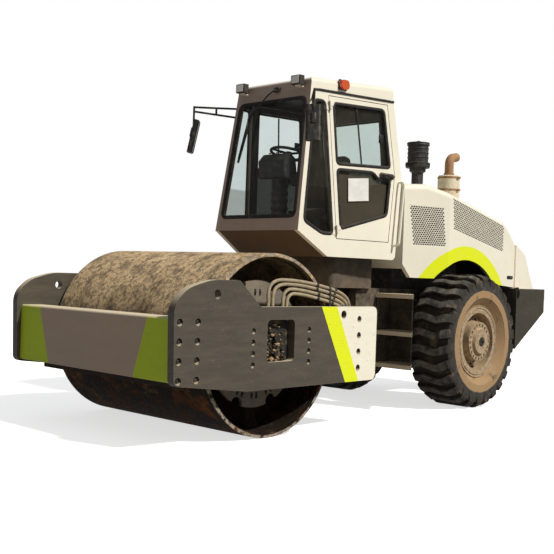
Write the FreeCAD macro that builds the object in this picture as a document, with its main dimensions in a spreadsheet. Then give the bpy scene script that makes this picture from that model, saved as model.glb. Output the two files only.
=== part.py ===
import FreeCAD, Part
import Sketcher
import math
import os
import re

# Single-drum road roller, articulated at its middle, as an assembly of named pieces.
# Frame: +X forward, +Y to the machine's left, +Z up, millimetres, ground at Z = 0 and the origin
# under the middle of the machine. Places along the machine are measured from three stations:
# the drum's axis, the articulation pin and the rear axle.
doc = FreeCAD.newDocument("RoadRoller")
vector = FreeCAD.Vector

# Every driving dimension: name, value in millimetres or degrees
sizes = [
    # Stations along the machine
    ("drum_x", 1940), ("pivot_x", 280), ("axle_x", -1373),
    # Drum
    ("drum_radius", 800), ("drum_half", 1047), ("drum_wall", 30), ("rim_step", 14), ("rim_lip", 40),
    ("isolator_long", 140), ("head_wall", 30), ("carrier_in", 217), ("carrier_wall", 28),
    ("carrier_radius", 560),
    ("isolator_circle", 455), ("isolator_radius", 62), ("isolator_count", 8), ("scallop_radius", 66),
    ("motor_radius", 185), ("motor_flange", 262), ("flange_wall", 36), ("journal_radius", 95),
    ("journal_gap", 0.5), ("motor_stand", 50), ("port_radius", 34),
    # Side plates: places measured back from their nose, and heights from the drum's axis
    ("plate_gap", 42), ("plate_wall", 74), ("nose_over", 51), ("tail_over", 83),
    ("plate_drop", 360), ("toe_drop", 270), ("toe_in", 20), ("toe_bend", 400), ("deck_rise", 340),
    ("notch_from", 260), ("notch_to", 510), ("hump_rise", 558), ("hump_back", 385), ("brow_back", 130),
    ("brow_rise", 487), ("nose_rise", 360), ("corner_round", 60), ("hump_round", 620),
    ("brow_round", 350), ("nose_round", 195), ("notch_round", 45),
    ("window_high", 360), ("window_long", 340), ("window_rise", 50), ("window_round", 40),
    ("well_rise", 222.7), ("well_pitch", 152.1), ("well_rise_inner", 138.4), ("well_pitch_inner", 94.4),
    ("well_radius", 30), ("well_radius_inner", 25), ("well_deep", 26), ("well_rows", 4),
    ("well_nose", 64), ("well_beam", 251), ("well_rear", -1067), ("well_fore", 335), ("well_aft", -360),
    ("eye_radius", 38), ("front_eye", 756), ("front_eye_rise", 443), ("rear_eye", 835),
    ("rear_eye_rise", 267),
    # Cross beams between the plates
    ("bumper_gap", 144), ("bumper_deep", 210), ("bumper_drop", 258), ("bumper_rise", 253),
    ("bumper_wall", 24), ("beam_gap", 130), ("beam_deep", 320), ("beam_low", 480), ("beam_high", 1090),
    ("scraper_gap", 12), ("scraper_wall", 20), ("scraper_high", 150), ("scraper_drop", 160),
    ("scraper_in", 40),
    # Articulation
    ("swing_z", 780), ("shaft_radius", 90), ("shaft_gap", 0.5), ("flange_radius", 175), ("flange_from", 190),
    ("flange_deep", 70), ("boss_gap", 8), ("shaft_deep", 230), ("hub_radius", 120), ("neck_half", 100),
    ("neck_low", 620), ("neck_high", 940), ("yoke_low", 500), ("yoke_high", 1000), ("lug_wall", 60),
    ("lug_radius", 125), ("lug_gap", 6), ("pin_radius", 50), ("pin_gap", 0.5), ("pin_head", 20),
    # Steering cylinders
    ("arm_along", 90), ("arm_out", 230), ("anchor_back", 760), ("cylinder_z", 690), ("rod_eye", 46),
    ("rod_eye_high", 50), ("cheek_gap", 8), ("cheek_wall", 22), ("cheek_half", 60), ("barrel_radius", 52),
    ("barrel_from", 70), ("barrel_long", 500), ("bore_gap", 0.5), ("rod_radius", 28), ("anchor_pin", 24),
    ("barrel_eye", 45),
    # Wheels
    ("tyre_radius", 745), ("tyre_wide", 530), ("wheel_y", 880), ("lug_depth", 52), ("lug_count", 26),
    ("bead_gap", 0.3), ("tread_half", 262), ("crown_drop", 16), ("crown_in", 14),
    ("lug_root", 96), ("lug_tip", 74), ("zigzag", 46), ("lug_reach", 118), ("shoulder_drop", 34),
    ("shoulder_deep", 90),
    ("rim_radius", 332), ("rim_flange", 396), ("rim_wall", 16), ("rim_half", 202), ("rim_lip_wall", 12),
    ("bead_wall", 6), ("dish_y", 70), ("dish_wall", 26),
    ("hub_wide", 232), ("hub_long", 150), ("hub_taper", 16), ("cap_radius", 150), ("cap_long", 30),
    ("cap_taper", 14), ("hub_bolt_circle", 188), ("hub_bolt", 11), ("hub_bolt_high", 14), ("hub_bolts", 20),
    # Rear axle
    ("axle_tube", 105), ("bowl_radius", 225), ("bowl_half", 150), ("spring_pad", 90), ("pad_y", 390),
    ("axle_end", 640), ("brake_radius", 190), ("brake_long", 90), ("spindle_radius", 90),
    # Rear frame
    ("rail_y", 390), ("rail_half", 55), ("rail_low", 930), ("rail_high", 1300), ("rail_chamfer", 60),
    ("rail_front", 40), ("spine_half", 130), ("spine_rear", -620), ("spine_front", 110),
    ("spine_chamfer", 120), ("cross_wall", 60), ("cross_high", 80),
    # Access steps, one each side
    ("step_front", -295), ("step_deep", 265), ("step_in", 460), ("step_out", 950), ("step_cut", 190),
    ("step_low", 500), ("step_mid", 850), ("step_top", 1250), ("tread_wall", 44), ("stile_wall", 14),
    ("riser_wall", 10),
    # Cab: side plane given at its front lower corner, falling back and widening to the rear
    ("cab_nose_x", 1142), ("cab_nose_z", 1850), ("cab_nose_y", 584), ("cab_yaw", 4.26), ("cab_lean", 3.4),
    ("cab_wall", 50), ("cab_base", 1610), ("cab_chin", 744), ("cab_heel", -270), ("cab_back", -400),
    ("cab_back_z", 2480), ("cab_crown", -285), ("cab_eave", 3262), ("eave_rise", 48), ("screen_top", 946),
    ("sill_high", 140), ("screen_border", 62), ("header_high", 90), ("screen_round", 30),
    ("floor_wall", 60), ("roof_front", 113), ("roof_high", 150), ("roof_round", 55), ("glass_wall", 8),
    ("rear_sill", 2250), ("rear_border", 142), ("rear_glass_half", 430), ("rear_round", 40),
    ("slab_long", 4200), ("slab_deep", 1800), ("cut_low", 250), ("cut_high", 1000), ("cut_over", 200),
    # Door in the cab's side, seen from the side; its head and window edges rise to the rear
    ("door_front_low", 607), ("door_front_top", 697), ("door_low", 1797), ("door_head", 47),
    ("head_rise", 36), ("door_rear_low", -165), ("door_rear_mid", -285), ("door_mid", 2515),
    ("door_rear_top", -182), ("door_gap", 7), ("door_border", 62), ("pane_rise", 38), ("pane_round", 30),
    ("rail_mid", 2520), ("rail_mid_half", 28), ("hinge_out", 16), ("hinge_radius", 14),
    ("hinge_long", 90), ("hinge_gap", 0.3), ("leaf_long", 70), ("leaf_wall", 7), ("hinge_low_z", 1880),
    ("hinge_down", 95),
    ("quarter_gap", 60), ("quarter_front", 70), ("quarter_low", 1950), ("quarter_heel", 1838),
    ("quarter_round", 18),
    # Cab plinth, seat and controls
    ("plinth_front", 520), ("plinth_rear", -180), ("plinth_half", 500), ("seat_x", 210), ("seat_half", 240),
    ("seat_deep", 480), ("seat_wall", 110), ("seat_z", 2120), ("back_wall", 110), ("back_high", 620),
    ("back_tilt", 8), ("seat_round", 40), ("cushion_gap", 0.3), ("console_x", 800),
    ("console_high", 740), ("foot_half", 150), ("foot_reach", 110), ("foot_high", 120),
    ("bellows_radius", 92), ("bellows_fold", 14), ("bellows_count", 8), ("pod_high", 250),
    ("pod_half", 180), ("pod_rear", 60), ("pod_front", 125), ("pod_round", 30),
    ("column_radius", 28), ("column_long", 250), ("column_tilt", 14), ("column_sink", 20),
    ("steer_radius", 190), ("steer_grip", 15), ("steer_hub", 38), ("spoke_half", 12), ("spokes", 3),
    # Mirrors, lamps and rails
    ("mirror_x", 1267), ("mirror_y", 845), ("mirror_down", 310), ("mirror_high", 350), ("mirror_wide", 145),
    ("mirror_deep", 55), ("mirror_round", 24), ("mirror_turn", 46.5), ("mirror_nod", 11), ("arm_radius", 11),
    ("arm_root_x", 930), ("arm_down", 112), ("arm_drop", 95), ("arm_drop_end", 45), ("arm_sink", 4),
    ("lamp_y", 390), ("lamp_half", 60), ("lamp_deep", 70), ("lamp_high", 90), ("lamp_up", 30),
    ("lamp_out", 22), ("lamp_round", 14), ("bracket_half", 30), ("bracket_wall", 8),
    ("marker_half", 60), ("marker_high", 94), ("marker_x", 500), ("marker_up", 30), ("marker_out", 45),
    ("marker_round", 38),
    ("grab_radius", 13), ("grab_low", 1760), ("grab_high", 2440), ("grab_out", 80), ("grab_low_x", -238),
    ("grab_high_x", -345),
    # Hood, seen from the side and from above
    ("hood_front", -415), ("hood_rear", -2550), ("hood_front_half", 700), ("hood_half", 870),
    ("flare_end", -1040), ("hood_low", 1430), ("hood_low_rear", 1352), ("hood_chamfer", 110),
    ("hood_top_front", 2440), ("hood_top_mid", 2462), ("hood_mid", -740), ("hood_slope_z", 2135),
    ("hood_slope", -2270), ("hood_tail_z", 1900), ("hood_wall", 38), ("hood_round", 70), ("tail_round", 170),
    ("arch_back", 40), ("arch_z", 823), ("arch_radius", 830),
    ("grille_front", -480), ("grille_rear", -1010), ("grille_low", 1775), ("grille_high", 2215),
    ("vent_front", -1095), ("vent_rear", -2230), ("vent_top_front", 2340), ("vent_top_rear", 2095),
    ("vent_low_front", 1975), ("vent_low_rear", 1768), ("slot_high", 13),
    ("grille_wall", 12),
    # Air cleaner and exhaust on the hood
    ("cleaner_x", -1060), ("stack_y", 400), ("cleaner_radius", 130), ("cleaner_low", 2690),
    ("cleaner_high", 2985), ("cleaner_neck", 66), ("muffler_x", -1710), ("muffler_radius", 130),
    ("muffler_high", 2665), ("pipe_radius", 53), ("pipe_high", 2872), ("pipe_bend", 85), ("pipe_wall", 5),
    # Tail panel and counterweight
    ("tail_gap", 10), ("tail_half", 855), ("tail_top", 1875), ("tail_knee", -2790), ("tail_knee_z", 1755),
    ("tail_rear", -3010), ("lid_pin_x", -2558), ("lid_pin_z", 1890), ("lid_pin_radius", 10),
    ("lid_pin_y", 480), ("weight_half", 950), ("weight_rear", -3140),
    ("weight_front", -2440), ("weight_top", 1340), ("weight_lip", 1050), ("weight_low", 610),
    # Engine
    ("engine_front", -760), ("engine_rear", -2080), ("engine_half", 310), ("engine_high", 1950),
    ("engine_low", 1010),
    # Hydraulic hoses beside the left plate
    ("hose_radius", 15), ("hose_gap", 3), ("clamp_back", 720), ("clamp_half", 12),
    ("clamp_lip", 1), ("clamp_seat", 20), ("clamp_rise", 196),
]

# Places that follow from the sizes above
follows = {
    "carrier_y": "drum_half - carrier_in",
    "head_y": "carrier_y - isolator_long",
    "motor_inner_y": "carrier_y + motor_stand",
    "plate_inner": "drum_half + plate_gap",
    "plate_outer": "plate_inner + plate_wall",
    "bumper_face": "drum_radius + bumper_gap + bumper_deep",
    "plate_nose": "bumper_face + nose_over",
    "beam_front": "drum_radius + beam_gap",
    "beam_rear": "drum_x - beam_front - beam_deep",
    "plate_tail": "beam_front + beam_deep + tail_over",
    "deck_high": "drum_radius + deck_rise",
    "hose_y": "plate_inner - hose_radius - hose_gap",
    "clamp_x": "drum_x - clamp_back",
    "door_top": "cab_eave - door_head",
    "hinge_high_z": "door_top - hinge_down",
    "rear_head": "cab_eave - rear_border",
    "arm_z": "cab_eave - arm_down",
    "mirror_z": "arm_z - mirror_down",
}

sheet = doc.addObject("Spreadsheet::Sheet", "Sizes")
for row, (name, value) in enumerate(sizes, start=1):
    sheet.set(f"A{row}", name)
    sheet.set(f"B{row}", str(value))
    sheet.setAlias(f"B{row}", name)
doc.recompute()

pieces = {}
word = re.compile(r"\b(?!(?:sin|cos|tan|sqrt|atan|abs|min|max)\b)([a-z]\w*)")


def formula(text):
    """An expression on the sheet's cells, from the names of sizes and of places that follow from them."""
    def cell(found):
        name = found.group(1)
        return f"({formula(follows[name])})" if name in follows else f"Sizes.{name}"
    return word.sub(cell, str(text))


def size(text):
    """The value of a size, or of a sum of sizes."""
    return float(sheet.evalExpression(formula(text)))


def bind(thing, **values):
    """Tie properties of an object to expressions; a double underscore stands for a dot."""
    for name, text in values.items():
        thing.setExpression(name.replace("__", "."), formula(text))
    return thing


def new_body(name):
    return doc.addObject("PartDesign::Body", name)


def new_sketch(body, role, across="0", up="0", off="0"):
    """A sketch on one of the body's own origin planes, shifted in that plane's own frame."""
    plane = [item for item in body.Origin.OriginFeatures if item.Role == role][0]
    sketch = body.newObject("Sketcher::SketchObject", "Sketch")
    sketch.AttachmentSupport = [(plane, "")]
    sketch.MapMode = "FlatFace"
    for part_name, text in (("x", across), ("y", up), ("z", off)):
        if text != "0":
            sketch.setExpression(f"AttachmentOffset.Base.{part_name}", formula(text))
    return sketch


def draw_loop(sketch, corners):
    """A closed run of lines whose corners are each dimensioned from the sketch's origin."""
    count = len(corners)
    first = len(sketch.Geometry)
    angles = [2 * math.pi * index / count for index in range(count)]
    rough = [vector(100 * math.cos(turn), 100 * math.sin(turn), 0) for turn in angles]
    lines = [Part.LineSegment(rough[index], rough[(index + 1) % count]) for index in range(count)]
    sketch.addGeometry(lines, False)
    for index in range(count):
        follower = first + (index + 1) % count
        sketch.addConstraint(Sketcher.Constraint("Coincident", first + index, 2, follower, 1))
    for index, corner in enumerate(corners):
        start = rough[index]
        for kind, at, text in (("DistanceX", start.x, corner[0]), ("DistanceY", start.y, corner[1])):
            number = sketch.addConstraint(Sketcher.Constraint(kind, -1, 1, first + index, 1, at))
            sketch.setExpression(f"Constraints[{number}]", formula(text))


def draw_circle(sketch, across, up, radius):
    first = len(sketch.Geometry)
    sketch.addGeometry(Part.Circle(vector(10, 10, 0), vector(0, 0, 1), 10), False)
    for kind, text in (("DistanceX", across), ("DistanceY", up)):
        number = sketch.addConstraint(Sketcher.Constraint(kind, -1, 1, first, 3, 10))
        sketch.setExpression(f"Constraints[{number}]", formula(text))
    number = sketch.addConstraint(Sketcher.Constraint("Radius", first, 10))
    sketch.setExpression(f"Constraints[{number}]", formula(radius))


def extrude(body, sketch, length, kind="Pad", middle=False, back=False):
    feature = body.newObject(f"PartDesign::{kind}", kind)
    feature.Profile = sketch
    feature.setExpression("Length", formula(length))
    feature.Midplane = middle
    feature.Reversed = back
    body.Tip = feature
    return feature


def across_slab(body, corners, low, high, kind="Pad"):
    """A side-view outline given depth from Y = low to Y = high."""
    sketch = new_sketch(body, "XZ_Plane", off=f"-({high})")
    draw_loop(sketch, corners)
    extrude(body, sketch, f"({high}) - ({low})", kind, back=(kind == "Pocket"))
    return sketch


def flat_slab(body, corners, low, high, kind="Pad"):
    """A plan outline given height from Z = low to Z = high."""
    sketch = new_sketch(body, "XY_Plane", off=low)
    draw_loop(sketch, corners)
    extrude(body, sketch, f"({high}) - ({low})", kind, back=(kind == "Pocket"))
    return sketch


def along_slab(body, corners, low, high, kind="Pad"):
    """A front-view outline given length from X = low to X = high."""
    sketch = new_sketch(body, "YZ_Plane", off=low)
    draw_loop(sketch, corners)
    extrude(body, sketch, f"({high}) - ({low})", kind, back=(kind == "Pocket"))
    return sketch


def rectangle(low_x, low_y, high_x, high_y):
    return [(low_x, low_y), (high_x, low_y), (high_x, high_y), (low_x, high_y)]


def turn(body, sketch, axis, kind="Revolution"):
    feature = body.newObject(f"PartDesign::{kind}", kind)
    feature.Profile = sketch
    feature.ReferenceAxis = (sketch, [axis])
    feature.Angle = 360
    body.Tip = feature
    return feature


def wheel_turn(body, corners, station, height, kind="Revolution"):
    """A profile of (Y, radius) turned about the cross axis through a station and a height."""
    sketch = new_sketch(body, "YZ_Plane", up=height, off=station)
    draw_loop(sketch, corners)
    turn(body, sketch, "H_Axis", kind)
    return sketch


def post_turn(body, corners, station, side):
    """A profile of (radius, Z) turned about a vertical axis."""
    sketch = new_sketch(body, "XZ_Plane", across=station, off=f"-({side})")
    draw_loop(sketch, corners)
    turn(body, sketch, "V_Axis")
    return sketch


def ring_of(body, features, sketch, axis, count):
    pattern = body.newObject("PartDesign::PolarPattern", "PolarPattern")
    pattern.Originals = features
    pattern.Axis = (sketch, [axis])
    pattern.Angle = 360
    pattern.setExpression("Occurrences", formula(count))
    body.Tip = pattern
    return pattern


def soften(body, sketch, corners, radius):
    """Round the edges that stand on some of a sketch's corners."""
    doc.recompute()
    base = body.Tip
    normal = sketch.Placement.Rotation.multVec(vector(0, 0, 1))
    names = []
    for corner in corners:
        point = sketch.Placement.multVec(sketch.Geometry[corner].StartPoint)
        for number, edge in enumerate(base.Shape.Edges, start=1):
            if len(edge.Vertexes) != 2 or edge.Curve.TypeId != "Part::GeomLine":
                continue
            way = edge.Vertexes[1].Point - edge.Vertexes[0].Point
            if way.getAngle(normal) > 1e-3 and way.getAngle(normal * -1) > 1e-3:
                continue
            if point.distanceToLine(edge.Vertexes[0].Point, way) < 1e-3:
                names.append(f"Edge{number}")
    return fillet(body, names, radius)


def fillet(body, names, radius):
    base = body.Tip
    feature = body.newObject("PartDesign::Fillet", "Fillet")
    feature.Base = (base, names)
    feature.setExpression("Radius", formula(radius))
    body.Tip = feature
    return feature


def combine(kind, name, *members):
    """A boolean of whole pieces: Cut, Fuse, Common or a Compound of pieces that don't touch."""
    if kind == "Cut":
        result = doc.addObject("Part::Cut", name)
        result.Base, result.Tool = members
    elif kind == "Common":
        result = doc.addObject("Part::MultiCommon", name)
        result.Shapes = list(members)
    elif kind == "Fuse":
        result = doc.addObject("Part::MultiFuse", name)
        result.Shapes = list(members)
    else:
        result = doc.addObject("Part::Compound", name)
        result.Links = list(members)
    return result


def mirrored(source, name):
    result = doc.addObject("Part::Mirroring", name)
    result.Source = source
    result.Normal = vector(0, 1, 0)
    result.Base = vector(0, 0, 0)
    return result


def keep(name, piece):
    """Give a finished piece its own name."""
    piece.Label = name
    pieces[name] = piece
    return piece


def both_sides(left_name, right_name, piece):
    keep(left_name, piece)
    keep(right_name, mirrored(piece, right_name))


def side_plates():
    """The two thick plates that carry the drum, each with a hump at the front."""
    body = new_body("plate_left")
    nose, low, hump = "drum_x + plate_nose", "drum_radius - plate_drop", "drum_radius + hump_rise"
    corners = [
        (f"{nose} - toe_in", "drum_radius - toe_drop"), ("drum_x + toe_bend", low),
        ("drum_x - plate_tail", low), ("drum_x - plate_tail", "deck_high"),
        ("drum_x + notch_from", "deck_high"), ("drum_x + notch_to", hump),
        (f"{nose} - hump_back", hump), (f"{nose} - brow_back", "drum_radius + brow_rise"),
        (nose, "drum_radius + nose_rise"),
    ]
    outline = across_slab(body, corners, "plate_inner", "plate_outer")
    for places, radius in (((0, 2, 3), "corner_round"), ((4, 5), "notch_round"), ((6,), "hump_round"),
                           ((7,), "brow_round"), ((8,), "nose_round")):
        soften(body, outline, places, radius)
    middle = "drum_radius + window_rise"
    window = across_slab(
        body,
        rectangle("drum_x - window_long / 2", f"{middle} - window_high / 2",
                  "drum_x + window_long / 2", f"{middle} + window_high / 2"),
        "plate_inner", "plate_outer", "Pocket")
    soften(body, window, (0, 1, 2, 3), "window_round")
    eyes = new_sketch(body, "XZ_Plane", off="-plate_outer")
    draw_circle(eyes, "drum_x + front_eye", "drum_radius + front_eye_rise", "eye_radius")
    draw_circle(eyes, "drum_x - rear_eye", "drum_radius + rear_eye_rise", "eye_radius")
    extrude(body, eyes, "plate_wall", "Pocket", back=True)
    wells = new_sketch(body, "XZ_Plane", off="-plate_outer")
    for station, top, pitch, radius in (
            (f"{nose} - well_nose", "well_rise", "well_pitch", "well_radius"),
            (f"{nose} - well_beam", "well_rise", "well_pitch", "well_radius"),
            ("drum_x + well_rear", "well_rise", "well_pitch", "well_radius"),
            ("drum_x + well_fore", "well_rise_inner", "well_pitch_inner", "well_radius_inner"),
            ("drum_x + well_aft", "well_rise_inner", "well_pitch_inner", "well_radius_inner")):
        for row in range(int(size("well_rows"))):
            draw_circle(wells, station, f"drum_radius + {top} - {row} * {pitch}", radius)
    extrude(body, wells, "well_deep", "Pocket", back=True)
    both_sides("left_side_plate", "right_side_plate", body)


def cross_beams():
    """The front bumper beam, the rear beam with the swing bearing, and the two scraper blades."""
    bumper = new_body("front_beam")
    face, low, high = "drum_x + bumper_face", "drum_radius - bumper_drop", "drum_radius + bumper_rise"
    outline = across_slab(
        bumper, rectangle(f"{face} - bumper_deep", low, face, high), "-plate_inner", "plate_inner")
    soften(bumper, outline, (1, 2), "bumper_wall")
    across_slab(
        bumper,
        rectangle(f"{face} - bumper_deep", f"{low} + bumper_wall", f"{face} - bumper_wall",
                  f"{high} - bumper_wall"),
        "-(plate_inner - bumper_wall)", "plate_inner - bumper_wall", "Pocket")
    keep("front_beam", bumper)

    beam = new_body("rear_beam")
    outline = across_slab(
        beam, rectangle("beam_rear", "beam_low", "beam_rear + beam_deep", "beam_high"),
        "-plate_inner", "plate_inner")
    soften(beam, outline, (0, 1, 2, 3), "bumper_wall")
    boss_face = "pivot_x + flange_from + flange_deep + boss_gap"
    boss = new_sketch(beam, "YZ_Plane", off=boss_face)
    draw_circle(boss, "0", "swing_z", "flange_radius")
    extrude(beam, boss, f"beam_rear + beam_deep / 2 - ({boss_face})")
    bore = new_sketch(beam, "YZ_Plane", off=boss_face)
    draw_circle(bore, "0", "swing_z", "shaft_radius + shaft_gap")
    extrude(beam, bore, "shaft_deep", "Pocket", back=True)
    keep("rear_beam", beam)

    blades = []
    for name, sign, seat in (("front", "+", "bumper_face - bumper_deep"), ("rear", "-", "beam_front")):
        blade = new_body(f"{name}_scraper")
        edge = f"drum_x {sign} sqrt((drum_radius + scraper_gap)^2 - scraper_drop^2)"
        seat_x, tip = f"drum_x {sign} ({seat})", "drum_radius - scraper_drop"
        across_slab(
            blade,
            [(edge, tip), (seat_x, f"{tip} - scraper_wall"),
             (seat_x, f"{tip} - scraper_wall - scraper_high"),
             (f"{seat_x} - ({sign}1) * scraper_wall", f"{tip} - scraper_wall - scraper_high"),
             (f"{seat_x} - ({sign}1) * scraper_wall", f"{tip} - 2 * scraper_wall"),
             (edge, f"{tip} - scraper_wall / 2")],
            "-(drum_half - scraper_in)", "drum_half - scraper_in")
        blades.append(blade)
    keep("drum_scrapers", combine("Compound", "drum_scrapers", *blades))


def drum():
    """The smooth shell with its stepped rims and inner heads, and the carriers on rubber mounts."""
    shell = new_body("drum_shell")
    inner = "drum_radius - drum_wall"
    lip = f"{inner} - rim_step"
    wheel_turn(
        shell,
        [("-drum_half", "drum_radius"), ("drum_half", "drum_radius"), ("drum_half", inner),
         ("drum_half - rim_lip", inner), ("drum_half - rim_lip", lip), ("drum_half - 2 * rim_lip", lip),
         ("drum_half - 2 * rim_lip", inner), ("head_y", inner), ("head_y", "shaft_radius"),
         ("head_y - head_wall", "shaft_radius"), ("head_y - head_wall", inner),
         ("-(head_y - head_wall)", inner), ("-(head_y - head_wall)", "shaft_radius"),
         ("-head_y", "shaft_radius"), ("-head_y", inner), ("-(drum_half - 2 * rim_lip)", inner),
         ("-(drum_half - 2 * rim_lip)", lip), ("-(drum_half - rim_lip)", lip),
         ("-(drum_half - rim_lip)", inner), ("-drum_half", inner)],
        "drum_x", "drum_radius")
    keep("drum_shell", shell)

    carrier = new_body("carrier")
    disc = wheel_turn(
        carrier,
        [("carrier_y", "journal_radius + journal_gap"),
         ("carrier_y + carrier_wall", "journal_radius + journal_gap"),
         ("carrier_y + carrier_wall", "carrier_radius"), ("carrier_y", "carrier_radius")],
        "drum_x", "drum_radius")
    scallop = new_sketch(carrier, "XZ_Plane", across="drum_x", up="drum_radius",
                         off="-(carrier_y + carrier_wall)")
    draw_circle(scallop, "carrier_radius * cos(180 / isolator_count)",
                "carrier_radius * sin(180 / isolator_count)", "scallop_radius")
    notch = extrude(carrier, scallop, "carrier_wall", "Pocket", back=True)
    ring_of(carrier, [notch], disc, "H_Axis", "isolator_count")
    mount = new_body("isolators")
    stub = new_sketch(mount, "XZ_Plane", across="drum_x", up="drum_radius", off="-carrier_y")
    draw_circle(stub, "isolator_circle", "0", "isolator_radius")
    first = extrude(mount, stub, "carrier_y - head_y")
    spin = new_sketch(mount, "YZ_Plane", up="drum_radius", off="drum_x")
    mount.AllowCompound = True
    ring_of(mount, [first], spin, "H_Axis", "isolator_count")
    keep("drum_carriers", combine("Compound", "drum_carriers", carrier, mirrored(carrier, "carrier_right")))
    keep("drum_isolators", combine("Compound", "drum_isolators", mount, mirrored(mount, "isolators_right")))


def drum_motors():
    """The drive and vibration motors that stand in from the plates and hold the drum's journals."""
    motor = new_body("motor")
    wheel_turn(
        motor,
        [("plate_inner", "0"), ("plate_inner", "motor_flange"),
         ("plate_inner - flange_wall", "motor_flange"),
         ("plate_inner - 2 * flange_wall", "motor_radius"), ("motor_inner_y", "motor_radius"),
         ("motor_inner_y", "journal_radius"), ("carrier_y", "journal_radius"), ("carrier_y", "0")],
        "drum_x", "drum_radius")
    for height in ("drum_radius + port_radius * 2", "drum_radius - port_radius * 2"):
        port = new_sketch(motor, "XZ_Plane", off="-plate_inner")
        draw_circle(port, "drum_x", height, "port_radius")
        extrude(motor, port, "flange_wall", back=True)
    keep("drum_motors", combine("Compound", "drum_motors", motor, mirrored(motor, "motor_right")))


def hitch():
    """The centre block: a steering hub in the rear yoke and a swing shaft in the front frame."""
    hub = new_body("hub")
    low, high = "yoke_low + lug_wall + lug_gap", "yoke_high - lug_gap"
    flange = "pivot_x + flange_from"
    post = new_sketch(hub, "XY_Plane", off=low)
    draw_circle(post, "pivot_x", "0", "hub_radius")
    extrude(hub, post, f"{high} - ({low})")
    across_slab(hub, rectangle("pivot_x", "neck_low", flange, "neck_high"), "-neck_half", "neck_half")
    disc = new_sketch(hub, "YZ_Plane", off=flange)
    draw_circle(disc, "0", "swing_z", "flange_radius")
    extrude(hub, disc, "flange_deep")
    shaft = new_sketch(hub, "YZ_Plane", off=f"{flange} + flange_deep")
    draw_circle(shaft, "0", "swing_z", "shaft_radius")
    extrude(hub, shaft, "boss_gap + shaft_deep - cheek_gap")
    arm = "arm_along + pivot_x"
    eye_half = "(rod_eye_high / 2 + cheek_gap)"
    plan = [(f"{arm} - cheek_half", "-(arm_out + cheek_half)"),
            (f"{arm} + cheek_half", "-(arm_out + cheek_half)"),
            (f"{flange} - cheek_wall", "-neck_half"), (f"{flange} - cheek_wall", "neck_half"),
            (f"{arm} + cheek_half", "arm_out + cheek_half"), (f"{arm} - cheek_half", "arm_out + cheek_half"),
            (f"{arm} - cheek_half", "neck_half"), (f"{arm} - cheek_half", "-neck_half")]
    for start in (f"cylinder_z + {eye_half}", f"cylinder_z - {eye_half} - cheek_wall"):
        cheek = flat_slab(hub, plan, start, f"{start} + cheek_wall")
        soften(hub, cheek, (0, 1, 4, 5), "cheek_half * 0.7")
    bore = new_sketch(hub, "XY_Plane", off=low)
    draw_circle(bore, "pivot_x", "0", "pin_radius + pin_gap")
    extrude(hub, bore, f"{high} - ({low})", "Pocket", back=True)
    keep("hitch_block", hub)


def steering_cylinders():
    """Barrels pinned to the rear frame and rods whose eyes lie between the hitch's cheeks."""
    anchor = "pivot_x - anchor_back"
    barrel = new_body("barrel_left")
    tube = new_sketch(barrel, "YZ_Plane", off=f"{anchor} + barrel_from")
    draw_circle(tube, "arm_out", "cylinder_z", "barrel_radius")
    extrude(barrel, tube, "barrel_long")
    eye = new_sketch(barrel, "XY_Plane", off="cylinder_z - rod_eye_high / 2")
    draw_circle(eye, anchor, "arm_out", "barrel_eye")
    extrude(barrel, eye, "rod_eye_high")
    flat_slab(barrel, rectangle(anchor, "arm_out - barrel_eye * 0.8", f"{anchor} + barrel_from",
                                "arm_out + barrel_eye * 0.8"),
              "cylinder_z - rod_eye_high / 2", "cylinder_z + rod_eye_high / 2")
    bore = new_sketch(barrel, "YZ_Plane", off=f"{anchor} + 2 * barrel_from")
    draw_circle(bore, "arm_out", "cylinder_z", "rod_radius + bore_gap")
    extrude(barrel, bore, "barrel_long", "Pocket", back=True)
    hole = new_sketch(barrel, "XY_Plane", off="cylinder_z - rod_eye_high / 2")
    draw_circle(hole, anchor, "arm_out", "anchor_pin + bore_gap")
    extrude(barrel, hole, "rod_eye_high", "Pocket", back=True)
    both_sides("left_cylinder_barrel", "right_cylinder_barrel", barrel)

    rod = new_body("rod_left")
    arm = "pivot_x + arm_along"
    start = f"{anchor} + barrel_from + barrel_long / 2 + arm_out / 2"
    bar = new_sketch(rod, "YZ_Plane", off=start)
    draw_circle(bar, "arm_out", "cylinder_z", "rod_radius")
    extrude(rod, bar, f"{arm} - ({start})")
    end = new_sketch(rod, "XY_Plane", off="cylinder_z - rod_eye_high / 2")
    draw_circle(end, arm, "arm_out", "rod_eye")
    extrude(rod, end, "rod_eye_high")
    both_sides("left_cylinder_rod", "right_cylinder_rod", rod)


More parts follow.
